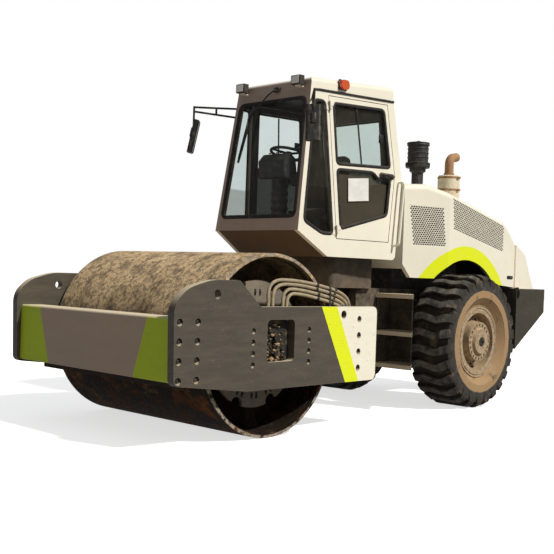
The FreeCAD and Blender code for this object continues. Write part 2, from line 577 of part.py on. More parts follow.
def wheels():
    """Deep-dished steel rims with planetary hubs, and tyres with zigzag lugs."""
    tyre = new_body("tyre_left")
    half, crown = "wheel_y + tyre_wide / 2", "tyre_radius - lug_depth"
    inner = "wheel_y - tyre_wide / 2"
    bead, side = "(rim_half - rim_lip_wall - bead_gap)", "(tyre_radius - rim_radius)"
    carcass = wheel_turn(
        tyre,
        [(f"wheel_y - {bead}", "rim_radius + bead_gap"), (f"wheel_y + {bead}", "rim_radius + bead_gap"),
         (f"wheel_y + {bead}", "rim_flange + bead_wall"),
         (half, f"rim_radius + {side} * 0.38"),
         (half, f"rim_radius + {side} * 0.62"),
         ("wheel_y + tread_half - crown_in", f"{crown} - crown_drop"), ("wheel_y + tread_half * 0.6", crown),
         ("wheel_y - tread_half * 0.6", crown), ("wheel_y - tread_half + crown_in", f"{crown} - crown_drop"),
         (inner, f"rim_radius + {side} * 0.62"),
         (inner, f"rim_radius + {side} * 0.38"), (f"wheel_y - {bead}", "rim_flange + bead_wall")],
        "axle_x", "tyre_radius")
    lug = new_sketch(tyre, "XY_Plane", across="axle_x", off=f"tyre_radius + {crown} - lug_reach")
    root, tip, bend = "lug_root / 2", "lug_tip / 2", "tread_half * 0.36"
    draw_loop(lug, [
        (f"zigzag / 2 - {root}", "wheel_y - tread_half"), (f"zigzag / 2 + {root}", "wheel_y - tread_half"),
        (f"zigzag / -2 + {tip}", f"wheel_y - {bend}"), (f"zigzag / 2 + {tip}", f"wheel_y + {bend}"),
        (f"zigzag / -2 + {root}", "wheel_y + tread_half"), (f"zigzag / -2 - {root}", "wheel_y + tread_half"),
        (f"zigzag / 2 - {tip}", f"wheel_y + {bend}"), (f"zigzag / -2 - {tip}", f"wheel_y - {bend}")])
    block = extrude(tyre, lug, "lug_reach + lug_depth + crown_drop")
    ring_of(tyre, [block], carcass, "H_Axis", "lug_count")
    edge = "(tread_half + crown_drop)"
    wheel_turn(
        tyre,
        [(f"wheel_y - {edge}", "tyre_radius * 1.1"), (f"wheel_y + {edge}", "tyre_radius * 1.1"),
         (f"wheel_y + {edge}", "tyre_radius - shoulder_deep"),
         (f"wheel_y + {edge} - 2 * crown_in", "tyre_radius - shoulder_drop"),
         ("wheel_y + tread_half * 0.7", "tyre_radius"), ("wheel_y - tread_half * 0.7", "tyre_radius"),
         (f"wheel_y - {edge} + 2 * crown_in", "tyre_radius - shoulder_drop"),
         (f"wheel_y - {edge}", "tyre_radius - shoulder_deep")],
        "axle_x", "tyre_radius", "Groove")
    both_sides("left_tyre", "right_tyre", tyre)

    rim = new_body("rim_left")
    thin, hub_face = "rim_radius - rim_wall", "wheel_y + dish_y + hub_long"
    turned = wheel_turn(
        rim,
        [("wheel_y - rim_half", "rim_flange"), ("wheel_y - rim_half + rim_lip_wall", "rim_flange"),
         ("wheel_y - rim_half + rim_lip_wall", "rim_radius"),
         ("wheel_y + rim_half - rim_lip_wall", "rim_radius"),
         ("wheel_y + rim_half - rim_lip_wall", "rim_flange"), ("wheel_y + rim_half", "rim_flange"),
         ("wheel_y + rim_half", thin), ("wheel_y + dish_y", thin), ("wheel_y + dish_y", "hub_wide"),
         (hub_face, "hub_wide - hub_taper"), (hub_face, "cap_radius"),
         (f"{hub_face} + cap_long", "cap_radius - cap_taper"), (f"{hub_face} + cap_long", "0"),
         ("wheel_y + dish_y - dish_wall", "0"), ("wheel_y + dish_y - dish_wall", thin),
         ("wheel_y - rim_half", thin)],
        "axle_x", "tyre_radius")
    stud = new_sketch(rim, "XZ_Plane", across="axle_x", up="tyre_radius",
                      off=f"-({hub_face} + hub_bolt_high)")
    draw_circle(stud, "hub_bolt_circle", "0", "hub_bolt")
    head = extrude(rim, stud, "2 * hub_bolt_high")
    ring_of(rim, [head], turned, "H_Axis", "hub_bolts")
    both_sides("left_rim", "right_rim", rim)


def rear_axle():
    body = new_body("rear_axle")
    nose = "wheel_y + dish_y - dish_wall - bead_gap"
    brake = "axle_end - brake_long"
    half = [("bowl_half * 0.7", "bowl_radius"), ("bowl_half * 1.4", "axle_tube"), (brake, "axle_tube"),
            (brake, "brake_radius"), ("axle_end", "brake_radius * 0.8"), ("axle_end", "spindle_radius"),
            (nose, "spindle_radius"), (nose, "0")]
    wheel_turn(body, [(f"-({y})", radius) for y, radius in reversed(half)] + half, "axle_x", "tyre_radius")
    for sign in ("", "-"):
        pad = new_sketch(body, "XY_Plane", off="tyre_radius")
        draw_loop(pad, rectangle("axle_x - spring_pad", f"{sign}pad_y - rail_half", "axle_x + spring_pad",
                                 f"{sign}pad_y + rail_half"))
        extrude(body, pad, "rail_low - tyre_radius")
    keep("rear_axle", body)


def chassis():
    """Two deep rails joined by cross members, and the yoke that holds the articulation pins."""
    rails = new_body("chassis")
    for sign in ("", "-"):
        across_slab(
            rails,
            [("weight_front", "rail_low"), ("rail_front", "rail_low"),
             ("rail_front", "rail_high - rail_chamfer"),
             ("rail_front - rail_chamfer", "rail_high"), ("weight_front", "rail_high")],
            f"{sign}rail_y - rail_half", f"{sign}rail_y + rail_half")
    for start in ("rail_front - cross_wall", "spine_rear", "axle_x + bowl_radius + cross_wall",
                  "weight_front + cross_wall"):
        along_slab(rails, rectangle("-rail_y", "rail_low", "rail_y", "rail_low + cross_high"),
                   start, f"{start} + cross_wall")
    across_slab(
        rails,
        [("spine_rear", "rail_low"), ("spine_rear + spine_chamfer", "yoke_low"), ("spine_front", "yoke_low"),
         ("spine_front", "yoke_high + lug_wall"), ("spine_rear", "yoke_high + lug_wall")],
        "-spine_half", "spine_half")
    for start in ("yoke_low", "yoke_high"):
        lug = flat_slab(rails, rectangle("spine_front", "-lug_radius", "pivot_x + lug_radius", "lug_radius"),
                        start, f"{start} + lug_wall")
        soften(rails, lug, (1, 2), "lug_radius * 0.96")
    pin = new_sketch(rails, "XY_Plane", off="yoke_low - pin_head")
    draw_circle(pin, "pivot_x", "0", "pin_radius")
    extrude(rails, pin, "yoke_high + lug_wall + 2 * pin_head - yoke_low")
    anchor = "pivot_x - anchor_back"
    gap = "(rod_eye_high / 2 + cheek_gap)"
    for sign in ("", "-"):
        for start in (f"cylinder_z + {gap}", f"cylinder_z - {gap} - cheek_wall"):
            flat_slab(
                rails,
                rectangle(f"{anchor} - cheek_half", f"{sign}(spine_half - cheek_wall)",
                          f"{anchor} + cheek_half", f"{sign}(arm_out + cheek_half)"),
                start, f"{start} + cheek_wall")
        post = new_sketch(rails, "XY_Plane", off=f"cylinder_z - {gap} - cheek_wall")
        draw_circle(post, anchor, f"{sign}arm_out", "anchor_pin")
        extrude(rails, post, f"2 * ({gap} + cheek_wall)")
    keep("chassis", rails)


def plain_block(name, low, high, corners=(), radius="seat_round"):
    body = new_body(name)
    outline = flat_slab(body, rectangle(low[0], low[1], high[0], high[1]), low[2], high[2])
    if corners:
        soften(body, outline, corners, radius)
    return body


def engine():
    keep("engine", plain_block("engine", ("engine_rear", "-engine_half", "engine_low"),
                               ("engine_front", "engine_half", "engine_high")))


def access_steps():
    """A stair of three open treads between two stiles, hung from the rail and cut back beside the tyre."""
    body = new_body("steps_left")
    back, low = "step_front - step_deep", "step_low - tread_wall"
    treads = [("rail_y + rail_half", "step_top"), ("step_in", "step_mid"), ("step_in", "step_low")]
    for inner, height in treads:
        plan = [("step_front", inner), ("step_front", "step_out"), (back, "step_out - step_cut"),
                (back, inner)]
        flat_slab(body, plan, f"{height} - tread_wall", height)
    plans = [
        rectangle(back, "step_in", "step_front - stile_wall", "step_in + stile_wall"),
        rectangle(back, "step_in", f"{back} + riser_wall", "step_out - step_cut"),
        [("step_front - stile_wall", "step_out - 2 * stile_wall"),
         ("step_front - stile_wall", "step_out - stile_wall"),
         (back, "step_out - step_cut"), (back, "step_out - step_cut - stile_wall")]]
    for plan in plans:
        flat_slab(body, plan, low, "step_top - tread_wall / 2")
    keep("access_steps", combine("Compound", "access_steps", body, mirrored(body, "steps_right")))


def side_slab(name, point, yaw, lean, inset, wall):
    """A large leaning slab: its outer face passes through a point, and falls back and inward."""
    slab = doc.addObject("Part::Box", name)
    long = size("slab_long")
    slab.Length = slab.Height = long
    slab.Width = wall
    spin = FreeCAD.Rotation(-yaw, 0, lean)
    slab.Placement = FreeCAD.Placement(point - spin.multVec(vector(long / 2, wall + inset, long / 2)), spin)
    return slab


def cab_slab(name, inset, wall):
    nose = vector(size("cab_nose_x"), size("cab_nose_y"), size("cab_nose_z"))
    return side_slab(name, nose, size("cab_yaw"), size("cab_lean"), inset, wall)


def side_y(x, z):
    """Where the cab's outer side plane lies at a station and a height."""
    return (f"(cab_nose_y + tan(cab_yaw) * (cab_nose_x - ({x})) "
            f"- tan(cab_lean) / cos(cab_yaw) * (({z}) - cab_nose_z))")


def side_plane_y(x, z):
    """The same place as a number, for pieces laid out in code."""
    yaw, lean = math.radians(size("cab_yaw")), math.radians(size("cab_lean"))
    return (size("cab_nose_y") + math.tan(yaw) * (size("cab_nose_x") - x)
            - math.tan(lean) / math.cos(yaw) * (z - size("cab_nose_z")))


def between(low, high, low_z, high_z, z):
    """A place on the straight line from (low, low_z) to (high, high_z) at height z."""
    return f"({low} + ({high} - ({low})) * (({z}) - {low_z}) / ({high_z} - {low_z}))"


def eave_line(x):
    """The height of the roof's lower edge, which rises to the rear."""
    return f"(cab_eave + eave_rise * (screen_top - ({x})) / (screen_top - cab_crown))"


def screen_line(z):
    return between("cab_nose_x", "screen_top", "cab_nose_z", "cab_eave", z)


def door_front(z):
    return between("door_front_low", "door_front_top", "door_low", "door_top", z)


def door_rear(z, upper):
    if upper:
        return between("door_rear_mid", "door_rear_top", "door_mid", "door_top + head_rise", z)
    return between("door_rear_low", "door_rear_mid", "door_low", "door_mid", z)


def prism(name, corners, low="cut_low", high="cut_high", rounds=(), radius="pane_round"):
    """A tool piece: an outline extruded right across one side of the machine."""
    body = new_body(name)
    outline = across_slab(body, corners, low, high)
    if rounds:
        soften(body, outline, rounds, radius)
    return body


def door_outline(gap):
    """The door's edge, or its opening when the gap is added all round."""
    return [(f"door_front_low + {gap}", f"door_low - {gap}"),
            (f"door_rear_low - {gap}", f"door_low - {gap}"), (f"door_rear_mid - {gap}", "door_mid"),
            (f"door_rear_top - {gap}", f"door_top + head_rise + {gap}"),
            (f"door_front_top + {gap}", f"door_top + {gap}")]


def straight_bar(name, start, end, radius):
    """A round bar between two points."""
    bar = doc.addObject("Part::Cylinder", name)
    bind(bar, Radius=radius)
    way = end - start
    bar.Height = way.Length
    bar.Placement = FreeCAD.Placement(start, FreeCAD.Rotation(vector(0, 0, 1), way))
    return bar


def hinge_half(name, foot, along, out, reach, radius):
    """Half a hinge: a knuckle along its pin's line and a flat leaf lying back on the panel beside it."""
    length = size("hinge_long") / 2 - size("hinge_gap") / 2
    knuckle = straight_bar(f"{name}_knuckle", foot, foot + along * length, radius)
    leaf = doc.addObject("Part::Box", f"{name}_leaf")
    leaf.Length, leaf.Width, leaf.Height = size("leaf_long"), size("leaf_wall"), length
    side = out.cross(along)
    turn_to = FreeCAD.Rotation(side, out, along, "ZYX")
    start = foot - out * (size(radius) + size("leaf_wall") / 2)
    if reach < 0:
        start = start - side * size("leaf_long")
    leaf.Placement = FreeCAD.Placement(start, turn_to)
    return combine("Fuse", name, knuckle, leaf)


def door_hinges(panel, on_wall):
    """The panel with its halves of the door's two hinges."""
    yaw, lean = math.radians(size("cab_yaw")), math.radians(size("cab_lean"))
    out = vector(math.sin(yaw) * math.cos(lean), math.cos(yaw) * math.cos(lean), math.sin(lean))
    tops = []
    for z in (size("door_low"), size("door_top")):
        share = (z - size("door_low")) / (size("door_top") - size("door_low"))
        x = size("door_front_low") + share * (size("door_front_top") - size("door_front_low"))
        x += size("door_gap") / 2
        tops.append(vector(x, side_plane_y(x, z), z) + out * size("hinge_out"))
    along = (tops[1] - tops[0]).normalize()
    halves = []
    for height in ("hinge_low_z", "hinge_high_z"):
        foot = tops[0] + along * ((size(height) - tops[0].z) / along.z - size("hinge_long") / 2)
        if not on_wall:
            foot = foot + along * (size("hinge_long") / 2 + size("hinge_gap") / 2)
        halves.append(hinge_half(height, foot, along, out, 1 if on_wall else -1, "hinge_radius"))
    return combine("Fuse", "hinged_wall" if on_wall else "hinged_door", panel, *halves)


def cab_sides():
    """Leaning side walls with their door openings and quarter windows, and the doors themselves."""
    wall = size("cab_wall")
    glass = size("glass_wall")
    shell = prism("side_outline", [
        ("cab_nose_x", "cab_nose_z"), ("cab_chin", "cab_base"), ("cab_heel", "cab_base"),
        ("cab_back", "cab_back_z"), ("cab_crown", eave_line("cab_crown")), ("screen_top", "cab_eave")],
        rounds=(2,), radius="corner_round")
    opening = prism("door_opening", door_outline("door_gap"))
    high = "door_top - door_border"
    quarter = prism("quarter_opening", [
        (f"{door_front('quarter_heel')} + quarter_gap", "quarter_heel"),
        (f"{door_front('quarter_heel')} + quarter_gap * 3.4", "quarter_heel"),
        (f"{screen_line('quarter_low')} - quarter_front", "quarter_low"),
        (f"{screen_line(high)} - quarter_front", high),
        (f"{door_front(high)} + quarter_gap", high)],
        rounds=(0, 1, 2, 3, 4), radius="quarter_round")
    skin = combine("Common", "side_skin", shell, cab_slab("side_slab", 0, wall))
    holes = combine("Fuse", "side_holes", opening, quarter)
    side_wall = combine("Cut", "side_wall", skin, holes)
    hinged = door_hinges(side_wall, True)
    keep("cab_side_walls", combine("Compound", "cab_side_walls", hinged, mirrored(hinged, "wall_right")))

    top, low, lower = "door_top - door_border", "rail_mid + rail_mid_half", "rail_mid - rail_mid_half"
    rear_top, rear_low = f"{top} + pane_rise", f"{low} + pane_rise"
    upper_pane = prism("upper_opening", [
        (f"{door_front(low)} - door_border", low), (f"{door_rear(rear_low, True)} + door_border", rear_low),
        (f"{door_rear(rear_top, True)} + door_border", rear_top), (f"{door_front(top)} - door_border", top)],
        rounds=(0, 1, 2, 3), radius=f"min(pane_round; ({top} - ({low})) * 0.4)")
    foot, heel = "door_low + door_border * 1.6", "door_low + door_border * 4.5"
    notch = f"{lower} + pane_rise - door_border * 1.3"
    lower_pane = prism("lower_opening", [
        (f"{door_front(foot)} - door_border", foot),
        (f"{door_rear(heel, False)} + door_border", heel),
        (f"{door_rear(notch, False)} + door_border", notch),
        ("door_rear_mid + door_border * 4.2", notch),
        ("door_rear_mid + door_border * 5.4", f"{lower} + pane_rise / 2"),
        (f"{door_front(lower)} - door_border", lower)],
        rounds=(0, 1, 2, 5), radius=f"min(pane_round; ({notch} - ({heel})) * 0.4)")
    blank = prism("door_blank", door_outline("0"))
    leaf = combine("Common", "door_leaf", blank, cab_slab("door_slab", 0, wall))
    panes = combine("Fuse", "door_panes", upper_pane, lower_pane)
    both_sides("left_door", "right_door", door_hinges(combine("Cut", "door_cut", leaf, panes), False))
    sheet_glass = combine("Compound", "pane_tools", upper_pane, lower_pane)
    both_sides("left_door_glass", "right_door_glass",
               combine("Common", "door_glazing", sheet_glass, cab_slab("door_glass_slab", wall / 2, glass)))
    return combine("Common", "quarter_glass", quarter, cab_slab("quarter_slab", wall / 2, glass))


def cab_ends(quarter_glass):
    """Windscreen frame, floor pan and rear wall between the side walls, the roof, and fixed glass."""
    wall = size("cab_wall")
    inner_left = cab_slab("inner_left", wall, size("slab_deep"))
    room = combine("Common", "cab_room", inner_left, mirrored(inner_left, "inner_right"))
    half = "cab_nose_y + cut_over"

    frame = prism("front_band", [
        ("cab_nose_x", "cab_nose_z"), ("screen_top", "cab_eave"),
        ("screen_top - cab_wall", eave_line("screen_top - cab_wall")),
        ("cab_nose_x - cab_wall", "cab_nose_z")],
        f"-({half})", half)
    low, high = "cab_nose_z + sill_high", "cab_eave - header_high"
    screen = new_body("screen_opening")
    outline = along_slab(screen, [
        (f"-({side_y('cab_nose_x', low)} - screen_border)", low),
        (f"{side_y('cab_nose_x', low)} - screen_border", low),
        (f"{side_y('screen_top', high)} - screen_border", high),
        (f"-({side_y('screen_top', high)} - screen_border)", high)],
        "screen_top - cut_over", "cab_nose_x + cut_over")
    soften(screen, outline, (0, 1, 2, 3), "screen_round")
    front_in = combine("Common", "front_in", frame, room)
    keep("cab_front_frame", combine("Cut", "front_frame_cut", front_in, screen))
    pane = prism("screen_pane", [
        ("cab_nose_x - cab_wall / 2", "cab_nose_z"), ("screen_top - cab_wall / 2", "cab_eave"),
        ("screen_top - cab_wall / 2 - glass_wall", "cab_eave"),
        ("cab_nose_x - cab_wall / 2 - glass_wall", "cab_nose_z")], f"-({half})", half)
    keep("windscreen", combine("Common", "screen_glass", pane, screen))

    def rear_inner(z):
        return f"({between('cab_heel', 'cab_back', 'cab_base', 'cab_back_z', z)} + cab_wall)"

    pan = prism("pan_band", [
        ("cab_nose_x", "cab_nose_z"), ("cab_nose_x - cab_wall", "cab_nose_z"),
        ("cab_chin", "cab_base + floor_wall"),
        (rear_inner("cab_base + floor_wall"), "cab_base + floor_wall"),
        (rear_inner("cab_base"), "cab_base"), ("cab_chin", "cab_base")], f"-({half})", half)
    keep("cab_floor", combine("Common", "floor_in", pan, room))

    back = prism("rear_band", [
        ("cab_heel", "cab_base"), ("cab_back", "cab_back_z"), ("cab_crown", eave_line("cab_crown")),
        ("cab_crown + cab_wall", eave_line("cab_crown + cab_wall")), ("cab_back + cab_wall", "cab_back_z"),
        ("cab_heel + cab_wall", "cab_base")], f"-({half})", half)
    light = new_body("rear_opening")
    outline = along_slab(light, rectangle("-rear_glass_half", "rear_sill", "rear_glass_half", "rear_head"),
                         "cab_back - cut_over", "cab_crown + cut_over")
    soften(light, outline, (0, 1, 2, 3), "min(rear_round; (rear_head - rear_sill) * 0.4)")
    keep("cab_rear_wall", combine("Cut", "rear_cut", combine("Common", "rear_in", back, room), light))
    rear_pane = prism("rear_pane_band", [
        ("cab_heel + cab_wall / 2", "cab_base"), ("cab_back + cab_wall / 2", "cab_back_z"),
        ("cab_crown + cab_wall / 2", "cab_eave"), ("cab_crown + cab_wall / 2 + glass_wall", "cab_eave"),
        ("cab_back + cab_wall / 2 + glass_wall", "cab_back_z"),
        ("cab_heel + cab_wall / 2 + glass_wall", "cab_base")],
        f"-({half})", half)
    rear_glass = combine("Common", "rear_glass", rear_pane, light)
    keep("fixed_glass", combine("Compound", "fixed_glass", quarter_glass,
                                mirrored(quarter_glass, "quarter_right"), rear_glass))

    block = prism("roof_outline", [
        ("screen_top", "cab_eave"), (screen_line("cab_eave + roof_front"), "cab_eave + roof_front"),
        ("cab_crown", f"{eave_line('cab_crown')} + roof_high"), ("cab_crown", eave_line("cab_crown"))],
        f"-({half})", half)
    outer_left = cab_slab("outer_left", 0, size("slab_deep"))
    sharp = combine("Common", "roof_sharp", block, outer_left, mirrored(outer_left, "outer_right"))
    doc.recompute()
    upper = max(sharp.Shape.Faces, key=lambda face: face.CenterOfMass.z)
    roof = doc.addObject("Part::Fillet", "roof")
    roof.Base = sharp
    round_by = size("roof_round")
    roof.Edges = [(number, round_by, round_by) for number, edge in enumerate(sharp.Shape.Edges, start=1)
                  if any(edge.isSame(rim) for rim in upper.Edges)]
    keep("cab_roof", roof)


def bent_bar(name, points, radius, bend):
    """A round bar along straight runs joined by tangent arcs, as one swept solid."""
    edges = []
    here = points[0]
    for before, corner, after in zip(points, points[1:], points[2:]):
        inward = (before - corner).normalize()
        outward = (after - corner).normalize()
        half_turn = (math.pi - inward.getAngle(outward)) / 2
        reach = bend * math.tan(half_turn)
        start, end = corner + inward * reach, corner + outward * reach
        middle = corner + (inward + outward).normalize() * (bend / math.cos(half_turn) - bend)
        edges.append(Part.LineSegment(here, start).toShape())
        edges.append(Part.Arc(start, middle, end).toShape())
        here = end
    edges.append(Part.LineSegment(here, points[-1]).toShape())
    path = Part.Wire(edges)
    ring = Part.Wire([Part.makeCircle(radius, points[0], points[1] - points[0])])
    bar = doc.addObject("Part::Feature", name)
    bar.Shape = path.makePipeShell([ring], True, False)
    return bar


def cab_fittings():
    """Seat, steering console and wheel, mirrors, lamps and grab rails."""
    plinth = plain_block("plinth", ("plinth_rear", "-plinth_half", "rail_high"),
                         ("plinth_front", "plinth_half", "cab_base"), (0, 1, 2, 3), "corner_round")
    keep("cab_plinth", plinth)

    floor = "cab_base + floor_wall"
    pedestal = new_body("pedestal")
    foot = rectangle("seat_x - seat_deep * 0.4", "-seat_half * 0.8", "seat_x + seat_deep * 0.3",
                     "seat_half * 0.8")
    base = flat_slab(pedestal, foot, floor, "seat_z - seat_wall")
    soften(pedestal, base, (0, 1, 2, 3), "seat_round")
    keep("seat_pedestal", pedestal)
    squab = plain_block("squab", ("seat_x - seat_deep / 2", "-seat_half", "seat_z - seat_wall"),
                        ("seat_x + seat_deep / 2", "seat_half", "seat_z"), (0, 1, 2, 3))
    rear = "seat_x - seat_deep / 2"
    lean = "back_high * tan(back_tilt)"
    backrest = new_body("backrest")
    across_slab(backrest, [
        (rear, "seat_z + cushion_gap"), (f"{rear} + back_wall", "seat_z + cushion_gap"),
        (f"{rear} + back_wall * 0.7 - {lean}", "seat_z + back_high"),
        (f"{rear} - {lean}", "seat_z + back_high")],
        "-seat_half * 0.92", "seat_half * 0.92")
    keep("seat_cushions", combine("Compound", "seat_cushions", squab, backrest))

    post = new_body("console_post")
    step, pod = f"{floor} + foot_high", f"({floor} + console_high)"
    pan_top = (f"({floor} + (cab_nose_z - ({floor})) * (console_x + foot_reach - cab_chin)"
               " / (cab_nose_x - cab_wall - cab_chin))")
    across_slab(post, [
        ("console_x - foot_reach", floor), ("cab_chin", floor), ("console_x + foot_reach", pan_top),
        ("console_x + foot_reach", step), ("console_x - foot_reach", step)], "-foot_half", "foot_half")
    folds = 2 * int(size("bellows_count"))
    rise = f"({pod} - ({step})) / {folds}"
    waves = [(f"bellows_radius - {fold % 2} * bellows_fold", f"{step} + {fold} * {rise}")
             for fold in range(folds + 1)]
    post_turn(post, [("0", step)] + waves + [("0", pod)], "console_x", "0")
    head = new_body("console_head")
    top = f"{pod} + pod_high"
    block = across_slab(head, [
        ("console_x - pod_rear", pod), ("console_x + pod_front", f"{pod} - column_sink"),
        ("console_x + pod_front + column_sink", f"{top} - pod_high * 0.35"), ("console_x + pod_rear", top),
        ("console_x - pod_rear * 0.5", f"{top} - pod_high * 0.24")], "-pod_half", "pod_half")
    soften(head, block, (0, 1, 2, 3, 4), "pod_round")
    console = keep("steering_console", combine("Fuse", "console", post, head))
    tilt = math.radians(size("column_tilt"))
    foot = vector(size("console_x - pod_rear"), 0, size(f"{pod} + column_sink"))
    head = foot + vector(-math.sin(tilt), 0, math.cos(tilt)) * size("column_long")
    column = straight_bar("column", foot, head, "column_radius")
    ring = doc.addObject("Part::Torus", "ring")
    bind(ring, Radius1="steer_radius", Radius2="steer_grip")
    lay = FreeCAD.Rotation(vector(0, 0, 1), head - foot)
    ring.Placement = FreeCAD.Placement(head, lay)
    hub = doc.addObject("Part::Cylinder", "wheel_hub")
    bind(hub, Radius="steer_hub", Height="2 * steer_grip")
    hub.Placement = FreeCAD.Placement(head - lay.multVec(vector(0, 0, size("steer_grip"))), lay)
    members = [column, ring, hub]
    for spoke in range(int(size("spokes"))):
        angle = math.pi / 2 + 2 * math.pi * spoke / size("spokes")
        way = lay.multVec(vector(math.cos(angle), math.sin(angle), 0))
        members.append(straight_bar("spoke", head, head + way * size("steer_radius"), "spoke_half"))
    wheel = combine("Fuse", "wheel_parts", *members)
    keep("steering_wheel", combine("Cut", "steering_wheel", wheel, console))

    mirror = plain_block("mirror_head", ("-mirror_deep / 2", "-mirror_wide / 2", "-mirror_high / 2"),
                         ("mirror_deep / 2", "mirror_wide / 2", "mirror_high / 2"), (0, 1, 2, 3),
                         "mirror_round")
    end = vector(size("mirror_x"), size("mirror_y"), size("arm_z"))
    middle = vector(end.x, end.y, size("mirror_z"))
    mirror.Placement = FreeCAD.Placement(
        middle, FreeCAD.Rotation(size("mirror_turn"), -size("mirror_nod"), 0))
    root = vector(size("arm_root_x"), side_plane_y(size("arm_root_x"), end.z) - size("arm_sink"), end.z)
    low_root = root - vector(0, 0, size("arm_drop"))
    low_end = end - vector(0, 0, size("arm_drop_end"))
    bars = [
        straight_bar("arm_top", root, end, "arm_radius"),
        straight_bar("arm_low", low_root, low_end, "arm_radius"),
        straight_bar("arm_strut", root * 0.5 + end * 0.5, low_root * 0.5 + low_end * 0.5, "arm_radius"),
        straight_bar("drop_bar", middle, end + vector(0, 0, size("arm_radius")), "arm_radius")]
    joined = combine("Fuse", "mirror_left", mirror, *bars)
    both = combine("Cut", "mirror_cut", joined, doc.getObject("side_wall"))
    keep("mirrors", combine("Compound", "mirrors", both, mirrored(both, "mirror_right")))

    face, base = "screen_top + lamp_out", "cab_eave + lamp_up"
    lamp = plain_block("lamp", (face, "lamp_y - lamp_half", base),
                       (f"{face} + lamp_deep", "lamp_y + lamp_half", f"{base} + lamp_high"),
                       (0, 1, 2, 3), "lamp_round")
    foot_z = f"{base} - 2 * bracket_wall"
    across_slab(lamp, rectangle("screen_top - lamp_out", foot_z, f"{face} + lamp_deep / 2 + bracket_wall",
                                f"{foot_z} + bracket_wall"),
                "lamp_y - bracket_half", "lamp_y + bracket_half")
    across_slab(lamp, rectangle(f"{face} + lamp_deep / 2 - bracket_wall", foot_z,
                                f"{face} + lamp_deep / 2 + bracket_wall", f"{base} + bracket_wall"),
                "lamp_y - bracket_half", "lamp_y + bracket_half")
    fitted = combine("Cut", "lamp_fitted", lamp, pieces["cab_roof"])
    keep("work_lamps", combine("Compound", "work_lamps", fitted, mirrored(fitted, "lamp_right")))
    marker = new_body("marker")
    low = f"({eave_line('marker_x')} + marker_up)"
    wall_y = side_y("marker_x", f"{low} + marker_high / 2")
    shape = rectangle("marker_x - marker_half", low, "marker_x + marker_half", f"{low} + marker_high")
    face = across_slab(marker, shape, f"{wall_y} - marker_out", f"{wall_y} + marker_out")
    soften(marker, face, (0, 1, 2, 3), "marker_round")
    set_in = combine("Cut", "marker_cut", marker, pieces["cab_roof"])
    keep("marker_lamps", combine("Compound", "marker_lamps", set_in, mirrored(set_in, "marker_right")))

    spots = []
    for end, out in (("low", -size("arm_sink")), ("low", size("grab_out")), ("high", size("grab_out")),
                     ("high", -size("arm_sink"))):
        station, height = size(f"grab_{end}_x"), size(f"grab_{end}")
        spots.append(vector(station, side_plane_y(station, height) + out, height))
    grab = bent_bar("grab", spots, size("grab_radius"), size("grab_radius") * 2.4)
    grab_cut = combine("Cut", "grab_cut", grab, doc.getObject("side_wall"))
    keep("grab_rails", combine("Compound", "grab_rails", grab_cut, mirrored(grab_cut, "grab_right")))


def hood_form(name, inset, low_drop):
    """The hood's outer or inner form: side profile, flared plan, rounded shoulders."""
    body = new_body(name)
    half = f"hood_half - {inset}"
    front, rear = f"hood_front - {inset}", f"hood_rear + {inset}"
    profile = across_slab(body, [
        (front, f"hood_low + hood_chamfer * 1.3 - {low_drop}"),
        (f"{front} - hood_chamfer", f"hood_low - {low_drop}"),
        ("axle_x", f"hood_low - {low_drop}"), (rear, f"hood_low_rear - {low_drop}"),
        (rear, f"hood_tail_z - {inset}"), ("hood_slope", f"hood_slope_z - {inset}"),
        ("hood_mid", f"hood_top_mid - {inset}"), (front, f"hood_top_front - {inset}")], f"-({half})", half)
    soften(body, profile, (4, 5), "tail_round")
    for sign in ("", "-"):
        side = new_sketch(body, "XY_Plane", off=f"hood_low_rear - 2 * {low_drop} - 40")
        draw_loop(side, [(f"{front} + 40", f"{sign}(hood_front_half - {inset} - 10)"),
                         ("flare_end", f"{sign}({half})"), ("flare_end", f"{sign}({half} + 90)"),
                         (f"{front} + 40", f"{sign}({half} + 90)")])
        extrude(body, side, "hood_top_mid", "Pocket", back=True)
    doc.recompute()
    names = []
    for number, edge in enumerate(body.Tip.Shape.Edges, start=1):
        middle = edge.valueAt((edge.FirstParameter + edge.LastParameter) / 2)
        way = edge.tangentAt((edge.FirstParameter + edge.LastParameter) / 2)
        high = middle.z > size("hood_tail_z") - size("tail_round") - size("hood_wall")
        if abs(middle.y) > size("hood_front_half") * 0.9 and high and abs(way.z) < 0.95 and abs(way.y) < 0.5:
            names.append(f"Edge{number}")
    fillet(body, names, "hood_round")
    return body


